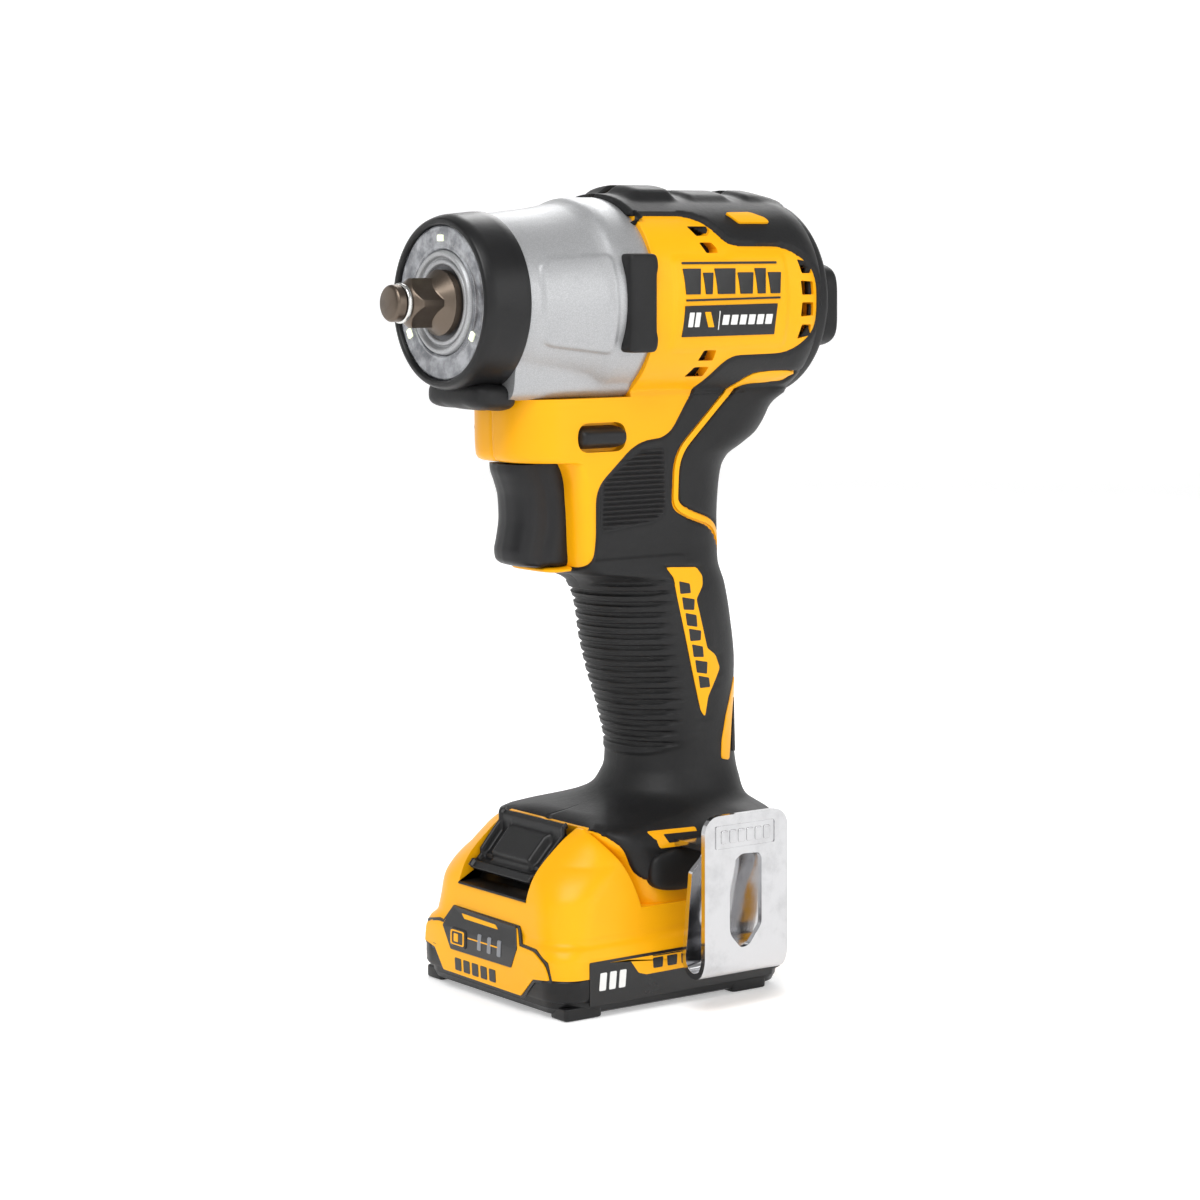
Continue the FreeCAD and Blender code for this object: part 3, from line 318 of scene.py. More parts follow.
def pillow(name: str, centre: Point, half: Point, power: Point = (4.0, 4.0), across: int = 48,
           shape: Optional[Callable[[Array, Array, Array], tuple[Array, Array, Array]]] = None) -> bpy.types.Object:
    """Rounded block: a superellipsoid, cosines and sines of two angles raised to 2/power.

    Args:
        name: Name of the piece.
        centre: Middle of the block.
        half: Half sizes along x, y and z.
        power: Squareness round the height and along it; 2 is round.
        across: Points along each angle.
        shape: Optional change of the finished coordinates.

    Returns:
        The closed piece.
    """
    up = np.linspace(-math.pi / 2, math.pi / 2, across)[1:-1, None]
    round_ = np.linspace(0, 2 * math.pi, 2 * across, endpoint=False)[None]

    def bent(value: Array, exponent: float) -> Array:
        """Signed power of a sine or cosine."""
        return np.sign(value) * np.abs(value) ** (2 / exponent)

    x = centre[0] + half[0] * bent(np.cos(up), power[1]) * bent(np.cos(round_), power[0])
    y = centre[1] + half[1] * bent(np.cos(up), power[1]) * bent(np.sin(round_), power[0])
    z = centre[2] + half[2] * bent(np.sin(up), power[1]) * np.ones_like(round_)
    if shape is not None:
        x, y, z = shape(x, y, z)
    return mesh_of(name, np.stack([x, y, z], -1))


def slab(name: str, outline: Array, place: Callable[[Array, Array, float], Array], low: float, high: float,
         bevel: float = 0.12) -> bpy.types.Object:
    """Thin plate that follows a surface: rings of its outline stepped over the edge and in to its middle.

    Args:
        name: Name of the piece.
        outline: Closed outline in the surface's two coordinates.
        place: Maps both coordinates and a lift to a point.
        low: Lift of the hidden underside.
        high: Lift of the visible face.
        bevel: How far the face's edge is drawn in.

    Returns:
        The closed piece.
    """
    middle = outline.mean(0)
    reach = np.abs(outline - middle).max()
    rings = [(1.0, low), (1.0, high - bevel)]
    rings += [(1 - bevel / reach, high), (0.8, high), (0.6, high), (0.4, high), (0.2, high), (0.02, high)]
    grid = [place(*(middle + (outline - middle) * share).T, lift) for share, lift in rings]
    return mesh_of(name, np.stack(grid), sharp=50)


def stacked(z: Array, sizes: tuple[Array, ...], along: int = 64, corner: int = 16, ends: int = 7) -> Array:
    """Plan sections on top of each other: x and y are straight shares and corner sines of each section's sizes.

    Args:
        z: Heights of the sections.
        sizes: Front, rear, half width, front corner length and width, rear corner length and width.
        along: Points along each side.
        corner: Points round each corner.
        ends: Points across each half end.

    Returns:
        The closed grid, one row per height, whose first half of columns is the -Y side.
    """
    share = np.concatenate([np.linspace(0, 1, ends), np.ones(corner * 2 + along + ends - 4)])
    turn = np.concatenate([np.zeros(ends - 1), np.linspace(0, 1, corner), np.ones(corner + along + ends - 3)])
    side = np.concatenate([np.zeros(ends + corner - 2), np.linspace(0, 1, along), np.ones(corner + ends - 2)])
    turn_back = np.concatenate([np.zeros(ends + corner + along - 3), np.linspace(0, 1, corner), np.ones(ends - 1)])
    share_back = np.concatenate([np.zeros(ends + 2 * corner + along - 4), np.linspace(0, 1, ends)])
    front, rear, half, fl, fw, rl, rw = (v[:, None] for v in sizes)
    a, b = turn * math.pi / 2, turn_back * math.pi / 2
    x = front + fl * (1 - np.cos(a)) + side * (rear - rl - front - fl) + rl * np.sin(b)
    y = (half - fw) * share + fw * np.sin(a) - rw * (1 - np.cos(b)) - (half - rw) * share_back
    height = np.repeat(z[:, None], x.shape[1], 1)
    near = np.stack([x, -y, height], -1)
    far = np.stack([x, y, height], -1)[:, -2:0:-1]
    return np.concatenate([near, far], 1)


def prism(name: str, outline: Array, first: float, second: float, sharp: float = SHARP) -> bpy.types.Object:
    """Straight prism across the tool: a side-view outline of (x, z) at two places along y."""
    rings = [np.stack([outline[:, 0], np.full(len(outline), y), outline[:, 1]], -1) for y in (first, second)]
    return mesh_of(name, np.stack(rings), sharp=sharp)


def ring_of(name: str, loop: Array, height: float, around: int = 160) -> bpy.types.Object:
    """Ring about the tool's long axis: a closed section of (x, radius) carried round a full circle and welded.

    Args:
        name: Name of the piece.
        loop: Closed section.
        height: Height of the axis.
        around: Steps round the circle.

    Returns:
        The closed piece.
    """
    angle = np.linspace(0, 2 * math.pi, around + 1)[:, None]
    x, radius = loop[:, 0][None], loop[:, 1][None]
    points = np.stack([x + 0 * angle, radius * np.sin(angle), height + radius * np.cos(angle)], -1)
    points[-1] = points[0]
    piece = mesh_of(name, points, caps=False)
    return welded(piece)


def welded(piece: bpy.types.Object) -> bpy.types.Object:
    """Joins vertices that lie on each other and turns the faces outwards."""
    work = bmesh.new()
    work.from_mesh(piece.data)
    bmesh.ops.remove_doubles(work, verts=work.verts, dist=1e-7)
    bmesh.ops.recalc_face_normals(work, faces=work.faces)
    work.to_mesh(piece.data)
    work.free()
    return piece


def ribbon(name: str, path: Array, width: Array, place: Callable[[Array, Array, float], Array],
           low: float, high: float) -> bpy.types.Object:
    """Raised line that follows a surface: offsets across its path, high in the middle and sunk at its edges.

    Args:
        name: Name of the piece.
        path: Points of its middle line in the surface's two coordinates.
        width: Half width at each point.
        place: Maps both coordinates and a lift to a point.
        low: Lift of its hidden edges.
        high: Lift of its face.

    Returns:
        The closed piece.
    """
    along = np.gradient(path, axis=0)
    across = np.stack([-along[:, 1], along[:, 0]], -1) / np.linalg.norm(along, axis=1)[:, None]
    columns = [(-1.0, low), (-1.0, high - 0.1), (-0.85, high), (0.0, high + 0.03), (0.85, high), (1.0, high - 0.1),
               (1.0, low)]
    grid = [place(*(path + across * (width * share)[:, None]).T, lift) for share, lift in columns]
    return mesh_of(name, np.stack(grid, 1), sharp=40)


# ---------------------------------------------------------------- finishes

class Sock:
    """A number that a shader works out: a node's output with Python's arithmetic."""

    def __init__(self, shader: "Shader", out: bpy.types.NodeSocket) -> None:
        """Wraps one output."""
        self.shader, self.out = shader, out

    def math(self, operation: str, *others: Union["Sock", float]) -> "Sock":
        """A Math node with this value first."""
        return self.shader.node("ShaderNodeMath", {"operation": operation},
                                {i: v for i, v in enumerate((self, *others))})

    def __add__(self, other: Union["Sock", float]) -> "Sock":
        """Sum."""
        return self.math("ADD", other)

    def __radd__(self, other: float) -> "Sock":
        """Sum."""
        return self.math("ADD", other)

    def __sub__(self, other: Union["Sock", float]) -> "Sock":
        """Difference."""
        return self.math("SUBTRACT", other)

    def __rsub__(self, other: float) -> "Sock":
        """Difference with a number first."""
        return self.shader.node("ShaderNodeMath", {"operation": "SUBTRACT"}, {0: other, 1: self})

    def __mul__(self, other: Union["Sock", float]) -> "Sock":
        """Product."""
        return self.math("MULTIPLY", other)

    def __rmul__(self, other: float) -> "Sock":
        """Product."""
        return self.math("MULTIPLY", other)

    def step(self, low: float, high: float) -> "Sock":
        """Smooth rise from 0 at low to 1 at high."""
        return self.shader.node("ShaderNodeMapRange", {"interpolation_type": "SMOOTHSTEP"},
                                {"Value": self, "From Min": low, "From Max": high})


class Shader:
    """Builds one material's nodes."""

    def __init__(self, name: str) -> None:
        """Starts a material with an empty tree."""
        self.material = bpy.data.materials.new(name)
        self.material.use_nodes = True
        self.tree = self.material.node_tree
        self.tree.nodes.clear()
        self.place = self.node("ShaderNodeTexCoord", {}, {}, "Object")

    def node(self, kind: str, settings: dict, inputs: dict, output: Union[str, int] = 0) -> Sock:
        """Adds a node.

        Args:
            kind: Node type.
            settings: Attributes set before the sockets.
            inputs: Values or wrapped outputs by socket name or number.
            output: Which output to wrap.

        Returns:
            The wrapped output.
        """
        made = self.tree.nodes.new(kind)
        for key, value in settings.items():
            setattr(made, key, value)
        for key, value in inputs.items():
            if isinstance(value, Sock):
                self.tree.links.new(value.out, made.inputs[key])
            elif value is not None:
                made.inputs[key].default_value = value
        return Sock(self, made.outputs[output] if len(made.outputs) else None)

    def noise(self, scale: float, detail: float = 3.0, rough: float = 0.5, stretch: Point = (1, 1, 1)) -> Sock:
        """Fractal noise on the object's own coordinates; scale is in waves per metre."""
        place = self.place
        if stretch != (1, 1, 1):
            place = self.node("ShaderNodeMapping", {}, {"Vector": place, "Scale": stretch})
        return self.node("ShaderNodeTexNoise", {}, {"Vector": place, "Scale": scale, "Detail": detail,
                                                    "Roughness": rough}, "Fac")

    def cells(self, scale: float) -> Sock:
        """Distance to the nearest of scattered points."""
        return self.node("ShaderNodeTexVoronoi", {}, {"Vector": self.place, "Scale": scale}, "Distance")

    def mix(self, share: Union[Sock, float], first: Union[Sock, Colour], second: Union[Sock, Colour]) -> Sock:
        """Colour between two, through a Mix node."""
        def full(c: Union[Sock, Colour]) -> Union[Sock, Point]:
            """Adds the alpha that a colour socket takes."""
            return c if isinstance(c, Sock) else (*c, 1.0)
        return self.node("ShaderNodeMix", {"data_type": "RGBA"}, {0: share, 6: full(first), 7: full(second)}, 2)

    def bump(self, height: Sock, depth: float, strength: float = 1.0, under: Optional[Sock] = None) -> Sock:
        """Bumps the normal by a height; depth is in millimetres."""
        return self.node("ShaderNodeBump", {}, {"Height": height, "Distance": depth * MM, "Strength": strength,
                                                "Normal": under})

    def surface(self, **inputs: Union[Sock, float, Point]) -> bpy.types.Material:
        """Ends the tree in a principled surface.

        Args:
            **inputs: Socket values, with underscores for spaces in the names.

        Returns:
            The material.
        """
        named = {key.replace("_", " "): value for key, value in inputs.items()}
        shader = self.node("ShaderNodeBsdfPrincipled", {}, named)
        self.node("ShaderNodeOutputMaterial", {"is_active_output": True}, {"Surface": shader})
        return self.material


@dataclass(frozen=True)
class Moulded:
    """Moulded plastic or rubber: even colour with slight clouding and a spark-eroded or stippled skin."""

    name: str
    colour: Colour
    rough: float
    grain: float = 0.012
    pitch: float = 1700.0
    cloud: float = 0.06
    coat: float = 0.0
    shine: float = 0.3

    def material(self) -> bpy.types.Material:
        """Clouded colour, two sizes of grain in the bump, and roughness that follows the grain."""
        s = Shader(self.name)
        broad = s.noise(38.0, 4.0)
        fine = s.noise(self.pitch, 2.0, 0.6)
        dust = s.noise(420.0, 5.0, 0.7)
        light = tuple(min(1.0, c * (1 + self.cloud) + 0.4 * self.cloud * 0.05) for c in self.colour)
        dark = tuple(c * (1 - self.cloud) for c in self.colour)
        colour = s.mix(broad.step(0.35, 0.65), dark, light)
        colour = s.mix(dust.step(0.62, 0.85) * 0.10, colour, tuple(0.75 * c + 0.02 for c in self.colour))
        rough = self.rough + 0.10 * (broad - 0.5) + 0.08 * (fine - 0.5) + 0.06 * dust.step(0.55, 0.8)
        normal = s.bump(fine, self.grain)
        normal = s.bump(s.noise(self.pitch * 0.32, 2.0), self.grain * 1.4, 1.0, normal)
        return s.surface(Base_Color=colour, Roughness=rough, Normal=normal, Coat_Weight=self.coat,
                         Coat_Roughness=0.25, Specular_IOR_Level=self.shine)


@dataclass(frozen=True)
class Steel:
    """Bare, plated or blackened metal with rubbing marks along one way and clouds of tarnish."""

    name: str
    colour: Colour
    rough: float
    tarnish: Colour = (0.25, 0.22, 0.19)
    stain: float = 0.25
    marks: Point = (1.0, 12.0, 12.0)
    depth: float = 0.004

    def material(self) -> bpy.types.Material:
        """Metal whose colour and roughness follow tarnish and fine scratches."""
        s = Shader(self.name)
        clouds = s.noise(140.0, 5.0, 0.65)
        lines = s.noise(260.0, 4.0, 0.6, self.marks)
        spots = s.noise(1500.0, 2.0, 0.6)
        colour = s.mix(clouds.step(0.45, 0.78) * self.stain, self.colour, self.tarnish)
        colour = s.mix(lines.step(0.55, 0.8) * 0.18, colour, tuple(min(1.0, c * 1.25 + 0.02) for c in self.colour))
        rough = self.rough + 0.16 * (clouds - 0.5) + 0.14 * (lines - 0.5) + 0.05 * (spots - 0.5)
        normal = s.bump(lines + spots * 0.5, self.depth)
        return s.surface(Base_Color=colour, Roughness=rough, Metallic=1.0, Normal=normal)


@dataclass(frozen=True)
class CastPaint:
    """Silver paint over a die casting: fine flake, soft pebbling and a little grime in broad random clouds."""

    name: str
    colour: Colour = (0.45, 0.455, 0.465)
    rough: float = 0.42

    def material(self) -> bpy.types.Material:
        """Flakes come from small cells, pebbling from two noises."""
        s = Shader(self.name)
        flake = s.cells(4200.0)
        pebble = s.noise(520.0, 3.0, 0.55)
        broad = s.noise(48.0, 4.0)
        colour = s.mix(flake.step(0.15, 0.6), tuple(c * 1.12 for c in self.colour),
                       tuple(c * 0.86 for c in self.colour))
        colour = s.mix(broad.step(0.4, 0.75) * 0.35, colour, tuple(c * 0.82 for c in self.colour))
        rough = self.rough + 0.12 * (pebble - 0.5) + 0.10 * (broad - 0.5)
        normal = s.bump(pebble, 0.05)
        normal = s.bump(flake, 0.01, 1.0, normal)
        return s.surface(Base_Color=colour, Roughness=rough, Metallic=0.55, Normal=normal)


@dataclass(frozen=True)
class Banded:
    """Stacked or wound metal: thin bands across one axis, as in laminations, windings and cells' wraps."""

    name: str
    colour: Colour
    gap: Colour
    bands: float
    way: Point
    metal: float = 1.0
    rough: float = 0.4

    def material(self) -> bpy.types.Material:
        """A wave texture makes the bands in colour and bump."""
        s = Shader(self.name)
        turned_place = s.node("ShaderNodeMapping", {}, {"Vector": s.place, "Scale": self.way})
        wave = s.node("ShaderNodeTexWave", {"wave_type": "BANDS", "bands_direction": "X"},
                      {"Vector": turned_place, "Scale": self.bands, "Distortion": 0.2}, "Fac")
        clouds = s.noise(160.0, 4.0)
        colour = s.mix(wave.step(0.1, 0.5), self.gap, self.colour)
        colour = s.mix(clouds.step(0.5, 0.8) * 0.3, colour, tuple(c * 0.6 for c in self.colour))
        return s.surface(Base_Color=colour, Roughness=self.rough + 0.2 * (clouds - 0.5), Metallic=self.metal,
                         Normal=s.bump(wave, 0.04))


@dataclass(frozen=True)
class Lens:
    """Clear moulded ring over a bright board: grey and glossy with streaks along it."""

    name: str = "lens_ring_clear"

    def material(self) -> bpy.types.Material:
        """Streaky grey under a glossy coat."""
        s = Shader(self.name)
        streak = s.noise(260.0, 4.0, 0.6)
        spots = s.noise(900.0, 3.0)
        colour = s.mix(streak.step(0.35, 0.7), (0.10, 0.105, 0.12), (0.34, 0.35, 0.37))
        return s.surface(Base_Color=colour, Roughness=0.16 + 0.2 * (spots - 0.4), Metallic=0.25, Coat_Weight=1.0,
                         Coat_Roughness=0.06, Normal=s.bump(spots, 0.02))


@dataclass(frozen=True)
class Lamp:
    """Small lamp that glows a little: pale phosphor with a frosted skin."""

    name: str = "lamp_phosphor"
    glow: float = 0.5

    def material(self) -> bpy.types.Material:
        """Pale greenish white, brighter in its middle."""
        s = Shader(self.name)
        grain = s.noise(1600.0, 2.0)
        colour = s.mix(grain, (0.80, 0.86, 0.62), (0.95, 0.97, 0.82))
        return s.surface(Base_Color=colour, Roughness=0.3 + 0.2 * (grain - 0.5), Emission_Color=(0.9, 1.0, 0.7, 1.0),
                         Emission_Strength=self.glow, Normal=s.bump(grain, 0.01))


@dataclass(frozen=True)
class Board:
    """Printed circuit board: green mask with paler tracks."""

    name: str = "circuit_board_green"

    def material(self) -> bpy.types.Material:
        """Tracks come from a square cell pattern."""
        s = Shader(self.name)
        tracks = s.node("ShaderNodeTexVoronoi", {"distance": "MANHATTAN", "feature": "F1"},
                        {"Vector": s.place, "Scale": 380.0}, "Distance")
        grain = s.noise(900.0, 3.0)
        colour = s.mix(tracks.step(0.4, 0.5), (0.012, 0.11, 0.035), (0.03, 0.21, 0.07))
        colour = s.mix(grain.step(0.66, 0.72), colour, (0.55, 0.5, 0.35))
        return s.surface(Base_Color=colour, Roughness=0.32 + 0.2 * (grain - 0.5), Normal=s.bump(tracks, 0.02))


YELLOW: Colour = (0.92, 0.41, 0.002)


class Finish(Enum):
    """The tool's finishes."""

    YELLOW_SHELL = Moulded("yellow_nylon", YELLOW, 0.34, grain=0.006, pitch=1500.0, cloud=0.02, coat=0.05, shine=0.2)
    BATTERY_YELLOW = Moulded("yellow_battery_nylon", (0.92, 0.42, 0.003), 0.36, grain=0.006, cloud=0.02, coat=0.05,
                             shine=0.2)
    SOFT_GRIP = Moulded("black_overmould", (0.0085, 0.0085, 0.009), 0.52, grain=0.03, pitch=1300.0, cloud=0.10)
    BLACK_NYLON = Moulded("black_nylon", (0.007, 0.007, 0.0075), 0.34, grain=0.012, pitch=1500.0, cloud=0.10)
    DARK_TRIGGER = Moulded("trigger_nylon", (0.009, 0.009, 0.010), 0.40, grain=0.012, cloud=0.08)
    GREY_NYLON = Moulded("grey_nylon", (0.16, 0.165, 0.17), 0.5, grain=0.015)
    LABEL_BLACK = Moulded("label_ink_black", (0.006, 0.006, 0.0065), 0.3, grain=0.003, cloud=0.05, coat=0.3)
    LABEL_WHITE = Moulded("label_ink_white", (0.78, 0.78, 0.76), 0.4, grain=0.003, cloud=0.03)
    LABEL_GREY = Moulded("gauge_bar_grey", (0.22, 0.23, 0.25), 0.35, grain=0.003, cloud=0.06)
    # Painted shade: a flat matt dark for the vents' insides, the hook tab's gap and a strip behind the grip's leaf.
    DARK_RECESS = Moulded("vent_shadow_black", (0.012, 0.010, 0.009), 0.8, grain=0.02)
    WIRE_RED = Moulded("wire_insulation", (0.45, 0.02, 0.015), 0.45, grain=0.01)
    BEARING_BRONZE = Steel("bearing_bronze", (0.72, 0.47, 0.22), 0.35, (0.35, 0.2, 0.1))
    CAST_CASE = CastPaint("cast_case_silver")
    DRIVE_STEEL = Steel("drive_steel_bronzed", (0.15, 0.12, 0.095), 0.34, (0.08, 0.06, 0.045), 0.6, (1, 9, 9), 0.008)
    RING_STEEL = Steel("friction_ring_steel", (0.72, 0.72, 0.70), 0.22, (0.4, 0.36, 0.3), 0.3)
    HARD_STEEL = Steel("hardened_steel", (0.42, 0.42, 0.43), 0.34, (0.2, 0.19, 0.2), 0.4)
    BRIGHT_STEEL = Steel("ground_steel", (0.66, 0.66, 0.67), 0.2, (0.4, 0.39, 0.37), 0.2)
    SPRING_STEEL = Steel("spring_steel", (0.36, 0.36, 0.38), 0.3, (0.2, 0.18, 0.17), 0.4)
    CHROME = Steel("hook_chrome", (0.56, 0.56, 0.57), 0.11, (0.34, 0.34, 0.35), 0.4, (10, 10, 1), 0.0015)
    SCREW_BLACK = Steel("screw_blackened", (0.10, 0.10, 0.105), 0.38, (0.05, 0.045, 0.04), 0.5)
    LAMINATIONS = Banded("motor_laminations", (0.42, 0.42, 0.44), (0.12, 0.12, 0.13), 900.0, (1, 1, 1))
    WINDINGS = Banded("copper_windings", (0.85, 0.36, 0.14), (0.30, 0.09, 0.03), 520.0, (0.3, 1, 1), 1.0, 0.3)
    CELL_WRAP = Banded("cell_wrap", (0.06, 0.20, 0.34), (0.04, 0.14, 0.26), 60.0, (1, 0, 0), 0.1, 0.35)
    LENS = Lens()
    LAMP = Lamp()
    BOARD = Board()


class Bench:
    """Where pieces are dressed and put on their bodies, with each finish made once."""

    def __init__(self) -> None:
        """Starts with no materials made."""
        self.made: dict[Finish, bpy.types.Material] = {}
        self.count = 0

    def paint(self, finish: Finish) -> bpy.types.Material:
        """The material of a finish."""
        if finish not in self.made:
            self.made[finish] = finish.value.material()
        return self.made[finish]

    def put(self, piece: bpy.types.Object, finish: Finish, body: str, slot: str, *stands_for: str) -> None:
        """Dresses a new piece and puts it on its body.

        Args:
            piece: The piece.
            finish: Its finish.
            body: The body that it rides on.
            slot: The record's material slot; not used.
            *stands_for: CAD nodes that it replaces.
        """
        piece.data.materials.clear()
        piece.data.materials.append(self.paint(finish))
        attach(piece, body)
        if stands_for:
            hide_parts(*stands_for)
        self.count += 1
        log.info("%s on %s, %s, %d faces", piece.name, body, finish.name.lower(), len(piece.data.polygons))

    def dress(self, finish: Finish, *nodes: str) -> None:
        """Gives a finish to CAD nodes that stay."""
        for name in nodes:
            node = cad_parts[name]
            node.data.materials.clear()
            node.data.materials.append(self.paint(finish))
            log.info("%s keeps its shape, %s", name, finish.name.lower())


# ---------------------------------------------------------------- the tool's body

@dataclass(frozen=True)
class ToolBody:
    """Nylon clamshell, its black overmould and bumpers, vents and printed panels.

    The outside is a stack of plan sections. Each is a box with elliptical corners whose front, rear, half width
    and corner sizes are smooth curves of height, so a point is a function of height and of place round the
    section.
    """

    axis: float = 170.0
    barrel: float = 25.7
    barrel_power: float = 2.25
    barrel_rear: float = 50.0
    barrel_end: float = 23.1
    case_bottom: float = 146.5
    case_rear: float = -3.2
    skin: float = 0.55
    vent_depth: float = 6.0
    rib_pitch: float = 2.73
    first_rib: float = 100.6
    rib_top: float = 103.5
    rib_count: int = 16
    front_knots: tuple[Point, ...] = (
        (24.3, -9.8), (34.6, -13.6), (40.0, -17.0), (42.3, -18.0), (43.2, -12.8), (44.2, -7.6), (46.0, -1.6),
        (47.7, 1.3), (50.0, 3.0), (53.0, 4.2), (57.0, 4.4), (66.0, 2.3), (78.0, -2.0), (86.0, -4.0), (92.0, -4.8),
        (98.0, -6.2), (101.0, -7.8), (102.6, -9.8), (103.6, -13.0), (104.3, -16.6), (106.0, -17.3), (120.0, -18.2),
        (130.9, -20.9), (131.0, -32.2), (131.6, -33.3), (132.6, -33.9), (139.0, -34.3), (146.5, -34.4))
    rear_knots: tuple[Point, ...] = (
        (24.3, 36.8), (38.0, 37.2), (41.5, 38.2), (44.2, 38.6), (47.7, 38.4), (51.5, 37.6), (57.0, 36.8),
        (66.0, 36.6), (78.0, 37.3), (90.0, 35.7), (98.0, 33.8), (104.0, 31.5), (110.0, 30.9), (116.0, 30.7),
        (122.0, 31.0), (128.0, 32.0), (131.0, 34.0), (134.0, 39.2), (137.0, 43.6), (140.0, 45.4), (144.0, 46.4),
        (147.0, 48.6))
    half_knots: tuple[Point, ...] = (
        (24.3, 28.0), (38.0, 28.0), (40.5, 26.6), (42.6, 23.4), (44.2, 20.8), (46.0, 18.5), (47.7, 17.2),
        (50.0, 16.2), (53.0, 15.3), (57.0, 15.0), (66.0, 15.1), (78.0, 15.4), (90.0, 15.8), (103.0, 16.0),
        (110.0, 15.4), (146.5, 15.4))
    front_long: tuple[Point, ...] = (
        (24.3, 8.0), (41.0, 9.0), (44.2, 20.0), (50.0, 16.5), (57.0, 16.2), (78.0, 19.8), (98.0, 19.0),
        (101.5, 16.0), (104.4, 4.0), (106.0, 3.0), (130.9, 3.5), (131.0, 12.0), (146.5, 13.0))
    front_wide: tuple[Point, ...] = (
        (24.3, 8.0), (41.0, 9.0), (44.2, 20.0), (47.7, 17.0), (57.0, 14.6), (90.0, 15.3), (101.0, 14.5),
        (104.4, 6.0), (106.0, 4.5), (130.9, 5.0), (131.0, 11.5), (146.5, 11.5))
    rear_long: tuple[Point, ...] = (
        (24.3, 8.0), (41.0, 10.0), (44.2, 19.0), (57.0, 16.2), (78.0, 19.8), (90.0, 20.0), (103.0, 19.0),
        (110.0, 18.0), (128.0, 16.5), (137.0, 16.0), (144.0, 12.0), (147.0, 7.0))
    rear_wide: tuple[Point, ...] = (
        (24.3, 8.0), (41.0, 10.0), (44.2, 19.0), (47.7, 17.0), (57.0, 14.6), (90.0, 15.3), (103.0, 15.3),
        (110.0, 13.6), (137.0, 13.2), (142.0, 11.0), (147.0, 4.0))

    def section(self, z: Array) -> tuple[Array, ...]:
        """Sizes of the plan section at each height.

        Args:
            z: Heights.

        Returns:
            Front, rear, half width, front corner length and width, rear corner length and width.
        """
        above = z > self.case_bottom
        off_axis = np.clip(np.abs(z - self.axis) / self.barrel, 0, 1)
        barrel_half = self.barrel * np.clip(1 - off_axis ** self.barrel_power, 0, 1) ** (1 / self.barrel_power)
        end_off = np.clip(np.abs(z - self.axis) / self.barrel_end, 0, 1)
        end_half = self.barrel_end * np.sqrt(1 - end_off ** 2)
        core_half = curve(self.half_knots, z)
        fade = smooth(146.5, 153.0, z)
        half = soft_max(core_half * (1 - fade), barrel_half, 3.5)
        over = np.clip(np.abs(z - self.axis) - self.barrel_end, 0, None)
        barrel_long = self.barrel_rear - over * (self.barrel_rear - 43.0) / (self.barrel - self.barrel_end)
        rear = np.where(z < 147.0, curve(self.rear_knots, z), barrel_long)
        front = np.where(above, self.case_rear, curve(self.front_knots, z))
        rear_wide = np.where(z < 147.0, curve(self.rear_wide, z), np.maximum(half - end_half, 0.1))
        rear_long = np.where(z < 147.0, curve(self.rear_long, z), 7.0)
        front_long = np.where(above, 0.3, curve(self.front_long, z))
        front_wide = np.where(above, 0.3, curve(self.front_wide, z))
        front_wide = np.minimum(front_wide, half - 0.25)
        rear_wide = np.minimum(rear_wide, half - 0.25)
        spare = np.minimum(1.0, (rear - front - 0.3) / (front_long + rear_long))
        return front, rear, half, front_long * spare, front_wide, rear_long * spare, rear_wide

    def heights(self, coarse: float, fine: float) -> Array:
        """Heights of the sections: closer where the grip is ribbed, and by equal angles round the barrel."""
        low = np.arange(24.3, 56.0, coarse)
        in_step = np.arange(56.0, self.rib_top, self.rib_pitch / round(self.rib_pitch / fine)) - 0.035
        ribbed = np.concatenate([in_step, np.arange(self.rib_top, 134.0, fine)])
        upper = np.arange(134.0, self.case_bottom - 0.2, coarse)
        angle = np.linspace(-1.145, 1.545, int(70 / coarse))
        barrel = self.axis + self.barrel * np.sin(angle)
        extra = [130.95, 131.0, self.case_bottom - 0.01, self.case_bottom + 0.01]
        return np.unique(np.concatenate([low, ribbed, upper, barrel[barrel > self.case_bottom + 0.1], extra]))

    def surface(self, z: Array, along: int = 64) -> Array:
        """The outside at those heights."""
        return stacked(z, self.section(z), along)

    def side_reach(self, x: Array, z: Array) -> Array:
        """Half width at a place in the side view: the section's half width less its corners' fall-off."""
        front, rear, half, fl, fw, rl, rw = self.section(np.asarray(z, float))
        near_front = np.clip((front + fl - x) / fl, 0, 1)
        near_rear = np.clip((x - rear + rl) / rl, 0, 1)
        return half - fw * (1 - np.sqrt(1 - near_front ** 2)) - rw * (1 - np.sqrt(1 - near_rear ** 2))

    def on_side(self, side: int) -> Callable[[Array, Array, float], Array]:
        """Maps the side view's (x, z) and a lift to a point on that side of the body."""
        def place(x: Array, z: Array, lift: float) -> Array:
            """A point of the side, pushed out along the slope found from small steps."""
            reach = self.side_reach(x, z)
            slope = (self.side_reach(x + 0.1, z) - self.side_reach(x - 0.1, z)) / 0.2
            fall = (self.side_reach(x, z + 0.1) - self.side_reach(x, z - 0.1)) / 0.2
            slope, fall = np.clip(slope, -1.5, 1.5), np.clip(fall, -1.5, 1.5)
            push = lift / np.sqrt(1 + slope ** 2 + fall ** 2)
            return np.stack([x - slope * push, side * (reach + push), z - fall * push], -1)
        return place

    # Outlines in the side view, as (x, z) or (x, z, corner radius).

